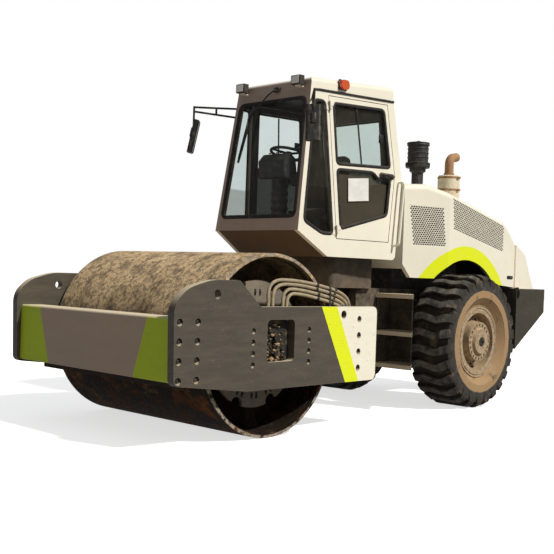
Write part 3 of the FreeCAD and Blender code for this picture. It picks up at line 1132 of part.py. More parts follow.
def hood():
    """The rear-hinged engine lid: a shell with flared sides, wheel arches and slotted grilles."""
    outer = hood_form("hood_outer", "0", "0")
    inner = hood_form("hood_inner", "hood_wall", "200")
    arch = new_body("arch")
    opening = new_sketch(arch, "XZ_Plane", off="-hood_half * 1.4")
    draw_circle(opening, "axle_x - arch_back", "arch_z", "arch_radius")
    extrude(arch, opening, "hood_half * 2.8")
    flare = math.degrees(math.atan2(size("hood_half") - size("hood_front_half"),
                                    size("hood_front") - size("flare_end")))
    corner = vector(size("hood_front"), size("hood_front_half"), size("grille_low"))
    flat = vector(size("flare_end"), size("hood_half"), size("grille_low"))
    panels = []
    tools = []
    table = [
        ("front", corner, flare, 11, [("grille_front", "grille_low"), ("grille_rear", "grille_low"),
                                      ("grille_rear", "grille_high"), ("grille_front", "grille_high")]),
        ("rear", flat, 0, 9, [("vent_front", "vent_low_front"), ("vent_rear", "vent_low_rear"),
                              ("vent_rear", "vent_top_rear"), ("vent_front", "vent_top_front")])]
    for name, point, yaw, rows, corners in table:
        panel = prism(f"{name}_panel", corners, "500", "1000")
        tools.append(prism(f"{name}_hole", corners, "500", "1000"))
        (front_x, front_z), (rear_x, rear_z) = corners[0], corners[1]
        slope = f"(({rear_z}) - ({front_z})) / (({rear_x}) - ({front_x}))"
        step = f"(({rear_x}) - ({front_x})) / 2"
        start = f"{front_x} + slot_high"
        span = f"({step}) + 2 * slot_high"
        sketch = new_sketch(panel, "XZ_Plane", off="-1000")
        draw_loop(sketch, [
            (f"{start} - 2 * slot_high", f"{front_z} + slot_high * 1.5"),
            (f"{start} - 2 * slot_high + {span}", f"{front_z} + slot_high * 1.5 + ({span}) * {slope}"),
            (f"{start} - 2 * slot_high + {span}", f"{front_z} + slot_high * 2.5 + ({span}) * {slope}"),
            (f"{start} - 2 * slot_high", f"{front_z} + slot_high * 2.5")])
        slot = extrude(panel, sketch, "500", "Pocket", back=True)
        many = panel.newObject("PartDesign::MultiTransform", "MultiTransform")
        many.Originals = [slot]
        along = panel.newObject("PartDesign::LinearPattern", "LinearPattern")
        along.Direction = (sketch, ["Edge1"])
        along.setExpression("Length", formula(f"abs({step}) / cos(atan({slope}))"))
        along.Occurrences = 2
        up = panel.newObject("PartDesign::LinearPattern", "LinearPattern")
        up.Direction = (sketch, ["V_Axis"])
        rise = f"min({corners[3][1]} - {front_z}; {corners[2][1]} - {rear_z}) - slot_high * 4"
        up.setExpression("Length", formula(rise))
        up.Occurrences = rows
        many.Transformations = [along, up]
        panel.Tip = many
        slab = side_slab(f"{name}_slab", point, yaw, 0, (size("hood_wall") - size("grille_wall")) / 2,
                         size("grille_wall"))
        panels.append(combine("Common", f"{name}_grille", panel, slab))
    left_holes = combine("Fuse", "left_holes", *tools)
    cuts = combine("Fuse", "hood_cuts", arch, inner, left_holes, mirrored(left_holes, "right_holes"))
    shell = combine("Cut", "hood_shell", outer, cuts)
    keep("engine_hood", combine("Fuse", "hinged_hood", shell, *lid_hinges("hood", 1)))
    sides = [combine("Compound", "left_grilles", *panels)]
    sides.append(mirrored(sides[0], "right_grilles"))
    keep("hood_grilles", combine("Compound", "hood_grilles", *sides))


def stacks():
    """The air cleaner's canister and the exhaust muffler with its bent tail pipe."""
    seat = "hood_top_front - hood_wall * 6"
    cleaner = new_body("cleaner")
    post_turn(cleaner, [
        ("0", seat), ("cleaner_neck", seat), ("cleaner_neck", "cleaner_low - 60"),
        ("cleaner_neck * 1.4", "cleaner_low - 40"), ("cleaner_neck * 1.4", "cleaner_low"),
        ("cleaner_radius * 1.04", "cleaner_low"), ("cleaner_radius * 1.04", "cleaner_low + 50"),
        ("cleaner_radius * 0.9", "cleaner_low + 60"), ("cleaner_radius * 0.9", "cleaner_high - 45"),
        ("cleaner_radius", "cleaner_high - 38"), ("cleaner_radius * 0.96", "cleaner_high - 16"),
        ("cleaner_radius * 0.5", "cleaner_high"), ("0", "cleaner_high")], "cleaner_x", "stack_y")
    keep("air_cleaner", combine("Cut", "cleaner_cut", cleaner, doc.getObject("hood_outer")))

    muffler = new_body("muffler")
    post_turn(muffler, [
        ("0", seat), ("muffler_radius", seat), ("muffler_radius", "muffler_high - 14"),
        ("muffler_radius - 14", "muffler_high"), ("0", "muffler_high")], "muffler_x", "stack_y")
    x, y = size("muffler_x"), size("stack_y")
    path = [vector(x, y, size("muffler_high") - 20), vector(x, y, size("pipe_high")),
            vector(x - size("pipe_bend") * 1.7, y, size("pipe_high") + size("pipe_bend") * 0.35)]
    pipe = bent_bar("tail_pipe", path, size("pipe_radius"), size("pipe_bend"))
    bore = bent_bar("pipe_bore", path, size("pipe_radius") - size("pipe_wall"), size("pipe_bend"))
    whole = combine("Fuse", "exhaust_whole", muffler, combine("Cut", "pipe_cut", pipe, bore))
    keep("exhaust", combine("Cut", "exhaust", whole, doc.getObject("hood_outer")))


def lid_hinges(name, forward):
    """Knuckles of the hood's two hinges, on the hood when forward and on the tail panel otherwise."""
    halves = []
    for middle in (-size("lid_pin_y"), size("lid_pin_y")):
        y = middle + (size("hinge_gap") / 2 if forward > 0 else -size("hinge_long") / 2)
        foot = vector(size("lid_pin_x"), y, size("lid_pin_z"))
        length = size("hinge_long") / 2 - (size("hinge_gap") / 2 if forward > 0 else 0)
        knuckle = straight_bar(f"{name}_pin", foot, foot + vector(0, length, 0), "lid_pin_radius")
        leaf = doc.addObject("Part::Box", f"{name}_leaf")
        leaf.Width = length
        if forward > 0:
            leaf.Length, leaf.Height = size("hood_wall"), size("leaf_wall")
            leaf.Placement.Base = foot - vector(0, 0, size("leaf_wall") / 2)
        else:
            leaf.Length, leaf.Height = size("leaf_wall"), size("hood_wall")
            leaf.Placement.Base = foot - vector(size("lid_pin_radius"), 0, size("hood_wall"))
        halves += [knuckle, leaf]
    return halves


def tail():
    """The fixed tail panel behind the hood and the counterweight below it."""
    panel = new_body("tail")
    profile = across_slab(panel, [
        ("hood_rear - tail_gap", "weight_top"), ("hood_rear - tail_gap", "tail_top"),
        ("tail_knee", "tail_knee_z"), ("tail_rear", "weight_top")], "-tail_half", "tail_half")
    soften(panel, profile, (2,), "tail_round")
    keep("tail_panel", combine("Fuse", "hinged_tail", panel, *lid_hinges("tail", -1)))

    weight = new_body("counterweight")
    profile = across_slab(weight, [
        ("weight_front", "weight_low"), ("weight_front", "weight_top"), ("weight_rear", "weight_top"),
        ("weight_rear", "weight_lip")], "-weight_half", "weight_half")
    keep("counterweight", weight)


def hoses():
    """Stiff hoses from the left drum motor's flange, arched over the plate and clamped, to the rear beam."""
    # Bend radius, then places ahead of the drum's axis and above it, from flange to rear beam
    runs = [
        (150, [(77, 250), (90, 574), (-350, 566), (-960, 466), (-1048, 282)]),
        (120, [(22, 250), (32, 534), (-350, 531), (-935, 428), (-1012, 282)]),
        (100, [(-103, 230), (-98, 500), (-400, 480), (-905, 390), (-974, 282)]),
        (80, [(-154, 205), (-148, 458), (-400, 442), (-880, 352), (-934, 282)]),
    ]
    start = vector(size("drum_x"), size("hose_y"), size("drum_radius"))
    strands = []
    for bend, places in runs:
        points = [start + vector(ahead, 0, rise) for ahead, rise in places]
        strands.append(bent_bar("hose", points, size("hose_radius"), bend))
    seats = combine("Fuse", "hose_seats", pieces["rear_beam"], doc.getObject("motor"))
    bundle = combine("Cut", "hoses_cut", combine("Fuse", "hose_run", *strands), seats)
    keep("drum_hoses", bundle)
    near = ("clamp_x - clamp_half", "hose_y - hose_radius - clamp_lip", "deck_high - clamp_seat")
    clamp = plain_block("clamp", near, ("clamp_x + clamp_half", "plate_inner", "deck_high + clamp_rise"))
    keep("hose_clamp", combine("Cut", "clamp_cut", clamp, bundle))


def write_parts():
    """Stop on any failed object, then write one file for each named piece."""
    doc.recompute()
    failed = [item.Name for item in doc.Objects if "Invalid" in item.State or "Error" in item.State]
    if failed:
        raise RuntimeError(f"failed objects: {failed}")
    for name, piece in pieces.items():
        if piece.Shape.isNull() or not piece.Shape.isValid() or not piece.Shape.Solids:
            raise RuntimeError(f"bad shape: {name}")
    os.makedirs("parts", exist_ok=True)
    for name, piece in pieces.items():
        piece.Shape.exportStep(f"parts/{name}.step")
        print(f"{name:24s} solids {len(piece.Shape.Solids):2d}  volume {piece.Shape.Volume / 1e6:9.1f} dm3")


side_plates()
cross_beams()
drum()
drum_motors()
hitch()
steering_cylinders()
wheels()
rear_axle()
chassis()
engine()
access_steps()
cab_ends(cab_sides())
cab_fittings()
hood()
stacks()
tail()
hoses()
write_parts()
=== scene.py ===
import bpy
import bmesh
import itertools
import math
import random
from mathutils import Matrix, Vector


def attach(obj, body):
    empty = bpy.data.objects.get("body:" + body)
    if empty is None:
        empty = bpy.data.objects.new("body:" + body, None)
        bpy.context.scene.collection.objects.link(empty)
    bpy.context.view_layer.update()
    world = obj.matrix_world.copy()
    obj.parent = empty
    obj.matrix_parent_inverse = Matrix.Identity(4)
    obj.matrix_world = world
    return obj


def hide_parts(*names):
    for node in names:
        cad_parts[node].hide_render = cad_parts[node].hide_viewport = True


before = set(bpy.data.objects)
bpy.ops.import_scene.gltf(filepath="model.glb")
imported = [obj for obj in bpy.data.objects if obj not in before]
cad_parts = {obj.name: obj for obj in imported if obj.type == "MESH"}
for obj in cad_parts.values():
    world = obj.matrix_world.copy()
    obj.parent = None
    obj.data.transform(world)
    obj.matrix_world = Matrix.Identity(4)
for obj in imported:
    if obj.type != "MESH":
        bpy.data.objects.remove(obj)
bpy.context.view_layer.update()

bpy.context.scene.view_settings.view_transform = "Standard"


def addObject(name, data):
    made = bpy.data.objects.new(name, data)
    bpy.context.collection.objects.link(made)
    return made


# Camera, fitted to the photograph's own edges
cameraSet = {
    "place": (7.7367, 6.5946, 1.4262),
    "heading": 223.53,
    "tilt": -0.23,
    "roll": 2.02,
    "lens": 60.27,
    "sensor": 36.0,
    "farthest": 200.0,
}


def makeCamera(values):
    heading, tilt, roll = (math.radians(values[key]) for key in ("heading", "tilt", "roll"))
    ahead = Vector((math.cos(tilt) * math.cos(heading), math.cos(tilt) * math.sin(heading), math.sin(tilt)))
    right = ahead.cross(Vector((0, 0, 1))).normalized()
    up = right.cross(ahead)
    rolledRight = right * math.cos(roll) + up * math.sin(roll)
    rolledUp = up * math.cos(roll) - right * math.sin(roll)
    data = bpy.data.cameras.new("viewCamera")
    data.lens, data.sensor_width, data.clip_end = values["lens"], values["sensor"], values["farthest"]
    camera = addObject("viewCamera", data)
    turn = Matrix((rolledRight, rolledUp, -ahead)).transposed()
    camera.matrix_world = Matrix.Translation(Vector(values["place"])) @ turn.to_4x4()
    bpy.context.scene.camera = camera


makeCamera(cameraSet)

# Places on the machine, in metres
drumX, drumR = 1.940, 0.800
axleX, wheelZ = -1.373, 0.745
plateFace = 1.163
cabNose = {"x": 1.142, "y": 0.584, "z": 1.850, "yaw": math.radians(4.26), "lean": math.radians(3.4)}
screenTop, eaveZ = 0.946, 3.262
sideOut = Vector((math.sin(cabNose["yaw"]) * math.cos(cabNose["lean"]),
                  math.cos(cabNose["yaw"]) * math.cos(cabNose["lean"]), math.sin(cabNose["lean"])))
screenSlope = (cabNose["x"] - screenTop) / (eaveZ - cabNose["z"])
screenOut = Vector((1, 0, screenSlope)).normalized()
hoodFlare = ((-0.415, 0.700), (-1.040, 0.870))

# Leaning edges seen from the side, as points of (z, x)
doorFrontLine = ((1.797, 0.607), (3.215, 0.697))
doorRearLine = ((1.797, -0.165), (2.515, -0.285), (3.251, -0.182))
cabRearLine = ((1.610, -0.270), (2.480, -0.400), (3.310, -0.285))


def edgeX(line, z):
    (lowZ, lowX), (highZ, highX) = line[:2] if z <= line[1][0] else line[-2:]
    return lowX + (highX - lowX) * (z - lowZ) / (highZ - lowZ)


def mirrored(point, side):
    return Vector((point[0], point[1] * side, point[2]))


def sideY(x, z):
    return (cabNose["y"] + math.tan(cabNose["yaw"]) * (cabNose["x"] - x)
            - math.tan(cabNose["lean"]) / math.cos(cabNose["yaw"]) * (z - cabNose["z"]))


def onSide(x, z, out=0.0, side=1):
    return mirrored(Vector((x, sideY(x, z), z)) + sideOut * out, side)


def screenX(z):
    return cabNose["x"] - screenSlope * (z - cabNose["z"])


def onHood(x, z, depth, side):
    (frontX, frontY), (rearX, rearY) = hoodFlare
    share = min(max((frontX - x) / (frontX - rearX), 0.0), 1.0)
    return Vector((x, (frontY + (rearY - frontY) * share - depth) * side, z))


# Material building
def newMaterial(name):
    material = bpy.data.materials.new(name)
    material.use_nodes = True
    material.node_tree.nodes.clear()
    return material, material.node_tree


def put(tree, kind, ins=None, **settings):
    # A node's output is linked; any other value is set on the socket, a colour with its alpha
    made = tree.nodes.new("ShaderNode" + kind)
    for key, value in settings.items():
        setattr(made, key, value)
    for key, value in (ins or {}).items():
        socket = made.inputs[key]
        if isinstance(value, bpy.types.NodeSocket):
            tree.links.new(value, socket)
        else:
            socket.default_value = (*value[:3], 1.0) if socket.type == "RGBA" else value
    return made


def calc(tree, operation, first, second=0.0):
    return put(tree, "Math", {0: first, 1: second}, operation=operation).outputs[0]


def times(tree, first, second):
    return calc(tree, "MULTIPLY", first, second)


def plus(tree, first, second):
    return calc(tree, "ADD", first, second)


def ramp(tree, value, low, high, to=(0.0, 1.0)):
    made = put(tree, "MapRange", {"Value": value, "From Min": low, "From Max": high, "To Min": to[0], "To Max": to[1]})
    return made.outputs["Result"]


def blend(tree, amount, first, second):
    return put(tree, "Mix", {0: amount, 6: first, 7: second}, data_type="RGBA").outputs[2]


def layer(tree, below, above, *masks):
    # A colour over another, as far as all the masks let it
    amount = masks[0]
    for mask in masks[1:]:
        amount = times(tree, amount, mask)
    return blend(tree, amount, below, above)


def objectPoint(tree, scale=None):
    point = put(tree, "TexCoord").outputs["Object"]
    return put(tree, "Mapping", {"Vector": point, "Scale": scale}).outputs[0] if scale else point


def noise(tree, scale, low=0.4, high=0.6, detail=4.0, rough=0.6, point=None):
    made = put(tree, "TexNoise", {"Scale": scale, "Detail": detail, "Roughness": rough,
                                  "Vector": point or objectPoint(tree)})
    return ramp(tree, made.outputs["Fac"], low, high)


def facing(tree, letter, low, high):
    normal = put(tree, "TexCoord").outputs["Normal"]
    return ramp(tree, put(tree, "SeparateXYZ", {0: normal}).outputs[letter], low, high)


def edges(tree, radius, low=0.02, high=0.12):
    bevel = put(tree, "Bevel", {"Radius": radius}, samples=4).outputs[0]
    flat = put(tree, "NewGeometry").outputs["Normal"]
    same = put(tree, "VectorMath", {0: bevel, 1: flat}, operation="DOT_PRODUCT").outputs["Value"]
    return ramp(tree, calc(tree, "SUBTRACT", 1.0, same), low, high)


def axisValue(tree, letter, absolute=False):
    value = put(tree, "SeparateXYZ", {0: objectPoint(tree)}).outputs[letter]
    return calc(tree, "ABSOLUTE", value) if absolute else value


def besideLine(tree, across, up, start, end, soft=0.0015):
    # 1 on the left of the line from start to end, 0 on its right
    wayX, wayY = end[0] - start[0], end[1] - start[1]
    length = math.hypot(wayX, wayY)
    rise = times(tree, calc(tree, "SUBTRACT", up, start[1]), wayX / length)
    run = times(tree, calc(tree, "SUBTRACT", across, start[0]), wayY / length)
    return ramp(tree, calc(tree, "SUBTRACT", rise, run), -soft, soft)


def reach(tree, x, z):
    # Distance from a cross axis
    across = calc(tree, "SUBTRACT", axisValue(tree, "X"), x)
    up = calc(tree, "SUBTRACT", axisValue(tree, "Z"), z)
    return calc(tree, "SQRT", plus(tree, times(tree, across, across), times(tree, up, up)))


def inward(tree, center):
    # 1 where a face looks back at the middle of the form it belongs to
    away = put(tree, "VectorMath", {0: objectPoint(tree), 1: center}, operation="SUBTRACT").outputs[0]
    normal = put(tree, "TexCoord").outputs["Normal"]
    value = put(tree, "VectorMath", {0: away, 1: normal}, operation="DOT_PRODUCT").outputs["Value"]
    return ramp(tree, value, 0.0, -0.02)


def finishWith(material, tree, color, rough, metal, bump, strength, distance, **fixed):
    raised = put(tree, "Bump", {"Height": bump, "Strength": strength, "Distance": distance})
    named = {key.replace("_", " "): value for key, value in fixed.items()}
    shader = put(tree, "BsdfPrincipled", {"Base Color": color, "Roughness": rough, "Metallic": metal,
                                          "Normal": raised.outputs[0], **named})
    put(tree, "OutputMaterial", {"Surface": shader.outputs[0]})
    return material


tan = (0.50, 0.36, 0.20)
dustTan = (0.42, 0.33, 0.22)
paleDust = (0.62, 0.53, 0.38)
mudBrown = (0.13, 0.075, 0.035)
rust = (0.20, 0.075, 0.025)
bareSteel = (0.30, 0.29, 0.28)
creamBase = (0.95, 0.915, 0.79)
limeBase = (0.84, 0.95, 0.002)
# Darker lime for the bumper: the same lime paint, darkened as painted shade on the bumper's front
limeShaded = (0.46, 0.62, 0.002)
taupeBase = (0.072, 0.062, 0.050)
# Dusty tan of the cab's forward faces: partly dust, partly painted shade
frontDustAndShade = (0.40, 0.31, 0.26)
# Dark for faces turned inward; inside the hood it is painted shade of the engine bay
insideDark = (0.030, 0.031, 0.033)

# Each noise is (scale, low, high, detail, roughness)
paintSet = {
    "cloud": (1.6, 0.3, 0.7),
    "cloudDark": 0.93,
    "grain": (90.0, 0.45, 0.75, 2.0),
    "film": (5.0, 0.42, 0.72, 6.0, 0.7),
    "top": (0.3, 0.95),
    "splash": (4.5, 0.35, 0.65),
    "splashHigh": 0.5,
    "splashShare": 0.7,
    "chips": (34.0, 0.66, 0.70, 3.0),
    "edge": 0.010,
    "wear": (22.0, 0.40, 0.55),
    "scratches": (5.0, 0.665, 0.69, 2.0, 0.6),
    "scratchStretch": (1.5, 1.5, 60.0),
    "scratchShare": 0.5,
    "dustyRough": 0.85,
    "bump": (0.08, 0.002),
}


def paint(name, base, dust=0.25, dustColor=dustTan, gloss=0.35, chips=0.0, chipColor=bareSteel, lowDirtAndLight=0.0,
          stripes=None, topDust=0.6, speckle=0.12, drawn=None, topColor=None):
    values = paintSet
    material, tree = newMaterial(name)
    color = blend(tree, noise(tree, *values["cloud"]), [value * values["cloudDark"] for value in base], base)
    for stripeColor, mask in (stripes(tree, stripeSet) if stripes else []):
        color = layer(tree, color, stripeColor, mask)
    grain = noise(tree, *values["grain"])
    film = times(tree, noise(tree, *values["film"], objectPoint(tree, drawn)), dust)
    settled = times(tree, facing(tree, "Z", *values["top"]), topDust)
    color = layer(tree, color, dustColor, grain, speckle)
    color = layer(tree, color, dustColor, film)
    color = layer(tree, color, topColor or dustColor, settled)
    if lowDirtAndLight:
        # Lower parts splashed with dust; on the plinth this also stands in for painted sunlight on its lower part
        low = ramp(tree, axisValue(tree, "Z"), lowDirtAndLight, lowDirtAndLight - values["splashHigh"])
        color = layer(tree, color, dustColor, low, noise(tree, *values["splash"]), values["splashShare"])
    if chips:
        worn = times(tree, edges(tree, values["edge"]), noise(tree, *values["wear"]))
        worn = calc(tree, "MAXIMUM", worn, noise(tree, *values["chips"]))
        color = layer(tree, color, chipColor, worn, chips)
        scratches = noise(tree, *values["scratches"], objectPoint(tree, values["scratchStretch"]))
        color = layer(tree, color, chipColor, scratches, chips * values["scratchShare"])
    rough = ramp(tree, plus(tree, film, settled), 0.0, 1.0, (gloss, values["dustyRough"]))
    return finishWith(material, tree, color, rough, 0.0, grain, *values["bump"])


# Painted stripes and linings: each function gives its colours with their masks
stripeSet = {
    "plateLime": ((1.064, 0.458), (1.424, 1.150)),
    "plateCream": ((0.868, 0.458), (1.209, 1.150)),
    "plateSkin": (plateFace - 0.008, plateFace - 0.003),
    "bumperLime": ((0.78, 1.053), (0.61, 0.542)),
    "archMiddle": (-1.413, 0.823),
    "archOuter": (0.9865, 0.9835),
    "archSkin": (0.66, 0.661),
    "hoodMiddle": (-1.50, 0.0, 1.50),
    "stackRust": (2.688, 2.694),
    "stackColor": (0.40, 0.21, 0.10),
    "lampCream": (3.2905, 3.2895),
    "treadTops": (1.250, 0.850, 0.500),
    "treadLow": (-0.048, -0.046),
    "treadHigh": (0.006, 0.004),
    # pale tan of the treads: dust brightened as painted sunlight
    "treadSunlit": (0.92, 0.78, 0.56),
    "frontShadeFacing": (0.80, 0.85),
    "cabMiddle": (0.30, 0.0, 2.45),
}


def plateStripes(tree, values):
    x, z = axisValue(tree, "X"), axisValue(tree, "Z")
    outside = ramp(tree, axisValue(tree, "Y", True), *values["plateSkin"])
    return [(color, times(tree, outside, besideLine(tree, x, z, *values[key])))
            for color, key in ((limeBase, "plateLime"), (creamBase, "plateCream"))]


def bumperStripes(tree, values):
    # Lime ends of the bumper in the darker lime: painted shade
    return [(limeShaded, besideLine(tree, axisValue(tree, "Y", True), axisValue(tree, "Z"), *values["bumperLime"]))]


def archStripe(tree, values):
    ring = ramp(tree, reach(tree, *values["archMiddle"]), *values["archOuter"])
    outside = ramp(tree, axisValue(tree, "Y", True), *values["archSkin"])
    # Lime ring on the outer skin, and the hood's inner faces darkened as painted shade
    return [(limeBase, times(tree, ring, outside)), (insideDark, inward(tree, values["hoodMiddle"]))]


def stackStripes(tree, values):
    return [(values["stackColor"], ramp(tree, axisValue(tree, "Z"), *values["stackRust"]))]


def lampStripes(tree, values):
    return [(creamBase, ramp(tree, axisValue(tree, "Z"), *values["lampCream"]))]


def stepStripes(tree, values):
    # Worn, dusty tread plates, their pale tan raised as painted sunlight, between dark hangers
    height = axisValue(tree, "Z")

    def limit(top, key):
        return ramp(tree, height, *[top + shift for shift in values[key]])
    return [(values["treadSunlit"], times(tree, limit(top, "treadLow"), limit(top, "treadHigh")))
            for top in values["treadTops"]]


def cabStripes(tree, values):
    # Faces looking forward take the dusty front colour, partly dust and partly painted shade
    return [(frontDustAndShade, facing(tree, "X", *values["frontShadeFacing"])), (insideDark, inward(tree, values["cabMiddle"]))]


drumSet = {
    "wrap": 0.55,
    "patches": (4.0, 0.50, 0.66, 6.0, 0.65),
    "crumbs": (24.0, 0.43, 0.51, 6.0, 0.72),
    "streaks": (9.0, 0.35, 0.65, 5.0, 0.7),
    "bareSheen": (7.0, 0.5, 0.7),
    "bareSheenShare": 0.04,
    "drifts": (1.9, 0.35, 0.62, 4.0),
    "driftShare": 0.42,
    "height": (0.55, 1.20, (-0.35, 0.75)),
    "cover": (0.15, 0.85),
    "least": (0.40, 1.0),
    "dusted": (0.45, 0.8),
    "dustedShare": 0.9,
    "tones": (3.0, 0.35, 0.65),
    "thin": (5.5, 0.38, 0.52, 5.0, 0.7),
    "grit": (85.0, 0.56, 0.68, 3.0),
    "gritShare": 0.55,
    "inside": (0.772, 0.768),
    "insideShare": 0.85,
    "outside": (0.772, 0.776),
    "rimFrom": (1.030, 1.036),
    "rimChips": (17.0, 0.40, 0.56),
    "dark": (0.017, 0.010, 0.006),
    "gray": (0.085, 0.074, 0.062),
    "clay": (0.93, 0.69, 0.42),
    "deepClay": (0.72, 0.52, 0.30),
    "rimPale": (0.44, 0.38, 0.31),
    "rough": (0.8, 0.95),
    "fineScale": 90.0,
    "bumpShares": (0.6, 0.4),
    "bump": (0.8, 0.010),
    "shine": 0.2,
}


def mudSteel(name, values):
    # Rolled steel under dry clay, with streaks that run round the drum
    material, tree = newMaterial(name)
    x = calc(tree, "SUBTRACT", axisValue(tree, "X"), drumX)
    z = calc(tree, "SUBTRACT", axisValue(tree, "Z"), drumR)
    turned = times(tree, calc(tree, "ARCTAN2", z, x), values["wrap"])
    wrapped = put(tree, "CombineXYZ", {0: turned, 1: axisValue(tree, "Y")}).outputs[0]
    crumbs = noise(tree, *values["crumbs"])
    drifts = plus(tree, noise(tree, *values["drifts"]), noise(tree, *values["streaks"], wrapped))
    # Clay and dust thin out towards the bottom, where the drum stays dark: partly real clay, partly painted shade under
    # the drum
    height = ramp(tree, axisValue(tree, "Z"), *values["height"])
    amount = plus(tree, height, times(tree, drifts, values["driftShare"]))
    cover = times(tree, ramp(tree, amount, *values["cover"]), ramp(tree, crumbs, 0.0, 1.0, values["least"]))
    thin = ramp(tree, noise(tree, *values["thin"]), 0.0, 1.0, values["least"])
    clay = blend(tree, noise(tree, *values["tones"]), values["clay"], values["deepClay"])
    color = blend(tree, noise(tree, *values["patches"]), values["dark"], rust)
    # Faint grey patches: partly bare steel, partly a painted sheen
    color = layer(tree, color, bareSteel, noise(tree, *values["bareSheen"]), values["bareSheenShare"])
    color = layer(tree, color, values["gray"], ramp(tree, amount, *values["dusted"]), values["dustedShare"])
    color = layer(tree, color, clay, cover, thin)
    color = layer(tree, color, values["dark"], noise(tree, *values["grit"]), values["gritShare"])
    away = reach(tree, drumX, drumR)
    color = layer(tree, color, values["dark"], ramp(tree, away, *values["inside"]), values["insideShare"])
    color = layer(tree, color, values["rimPale"], ramp(tree, axisValue(tree, "Y", True), *values["rimFrom"]),
                  noise(tree, *values["rimChips"]), ramp(tree, away, *values["outside"]))
    coarse, fine = values["bumpShares"]
    bump = plus(tree, times(tree, crumbs, coarse), times(tree, noise(tree, values["fineScale"]), fine))
    return finishWith(material, tree, color, ramp(tree, cover, 0.0, 1.0, values["rough"]), 0.0, bump,
                      *values["bump"], Specular_IOR_Level=values["shine"])


rubberSet = {
    "base": (0.024, 0.023, 0.022),
    "worn": (0.080, 0.076, 0.070),
    "wear": (14.0, 0.40, 0.75),
    "treadOuter": (0.712, 0.698),
    "treadInner": (0.60, 0.66),
    "groove": (0.028, 0.020, 0.014),
    "grooveShare": 0.8,
    "lips": (0.716, 0.742),
    "lip": (0.19, 0.175, 0.150),
    "lipWear": (10.0, 0.38, 0.62),
    "lipShare": 0.75,
    "ripples": (20.0, 0.3, 0.7),
    "rippleDeep": 0.008,
    "band": (0.576, 0.568),
    "bandDust": (0.40, 0.26, 0.135),
    "caked": (7.0, 0.22, 0.42),
    "cakedShare": 0.92,
    "dusty": (6.0, 0.55, 0.75),
    "dustyShare": 0.35,
    "ribCount": 300.0,
    "ribsWithin": (0.57, 0.55),
    "ribDeep": 0.4,
    "fineScale": 120.0,
    "rough": 0.88,
    "bump": (0.35, 0.003),
}


def tyreRubber(name, values):
    material, tree = newMaterial(name)
    away = reach(tree, axleX, wheelZ)
    color = blend(tree, noise(tree, *values["wear"]), values["base"], values["worn"])
    color = layer(tree, color, values["groove"], ramp(tree, away, *values["treadOuter"]),
                  ramp(tree, away, *values["treadInner"]), values["grooveShare"])
    # Paler lug lips: partly wear and dust, partly a painted highlight on the lit lugs
    color = layer(tree, color, values["lip"], ramp(tree, away, *values["lips"]), noise(tree, *values["lipWear"]),
                  values["lipShare"])
    edge = plus(tree, away, times(tree, noise(tree, *values["ripples"]), values["rippleDeep"]))
    color = layer(tree, color, values["bandDust"], ramp(tree, edge, *values["band"]),
                  noise(tree, *values["caked"]), values["cakedShare"])
    color = layer(tree, color, dustTan, noise(tree, *values["dusty"]), values["dustyShare"])
    rings = calc(tree, "SINE", times(tree, away, values["ribCount"]))
    ribs = times(tree, rings, ramp(tree, away, *values["ribsWithin"]))
    bump = plus(tree, times(tree, ribs, values["ribDeep"]), noise(tree, values["fineScale"]))
    return finishWith(material, tree, color, values["rough"], 0.0, bump, *values["bump"])


plainSet = {
    "cloud": (12.0, 0.3, 0.7),
    "cloudDark": 0.82,
    "spots": (0.5, 0.7),
    "top": (0.5, 1.0),
    "grain": (0.3, 0.7, 2.0),
    "bumpDeep": 0.002,
}


def plainFinish(name, base, rough=0.5, metal=0.0, spots=16.0, spotColor=dustTan, spotAmount=0.25, bumpScale=140.0,
                strength=0.15, dusty=0.3, **fixed):
    values = plainSet
    material, tree = newMaterial(name)
    color = blend(tree, noise(tree, *values["cloud"]), [values["cloudDark"] * value for value in base], base)
    color = layer(tree, color, spotColor, noise(tree, spots, *values["spots"]), spotAmount)
    color = layer(tree, color, spotColor, facing(tree, "Z", *values["top"]), dusty)
    return finishWith(material, tree, color, rough, metal, noise(tree, bumpScale, *values["grain"]), strength,
                      values["bumpDeep"], **fixed)


weaveSet = {
    "base": (0.022, 0.026, 0.030),
    "stretch": (420.0, 420.0, 420.0),
    "pale": 1.8,
    "paleShare": 0.6,
    "dust": (8.0, 0.4, 0.7),
    "dustShare": 0.2,
    "rough": 0.92,
    "bump": (0.25, 0.001),
    "sheen": 0.25,
}


def weave(name, values):
    material, tree = newMaterial(name)
    threads = put(tree, "TexChecker", {"Vector": objectPoint(tree, values["stretch"]), "Scale": 1.0,
                                       "Color1": (1, 1, 1), "Color2": (0, 0, 0)}).outputs["Fac"]
    pale = [values["pale"] * part for part in values["base"]]
    color = layer(tree, values["base"], pale, threads, values["paleShare"])
    color = layer(tree, color, dustTan, noise(tree, *values["dust"]), values["dustShare"])
    return finishWith(material, tree, color, values["rough"], 0.0, threads, *values["bump"],
                      Sheen_Weight=values["sheen"])


glassSet = {
    "mirror": (0.9, 0.9, 0.88),
    "mirrorShare": 0.6,
    "rough": 0.03,
    "index": 1.45,
    "smears": (2.5, 0.3, 0.8),
    "specks": (60.0, 0.52, 0.75, 3.0),
    "soft": 0.01,
}


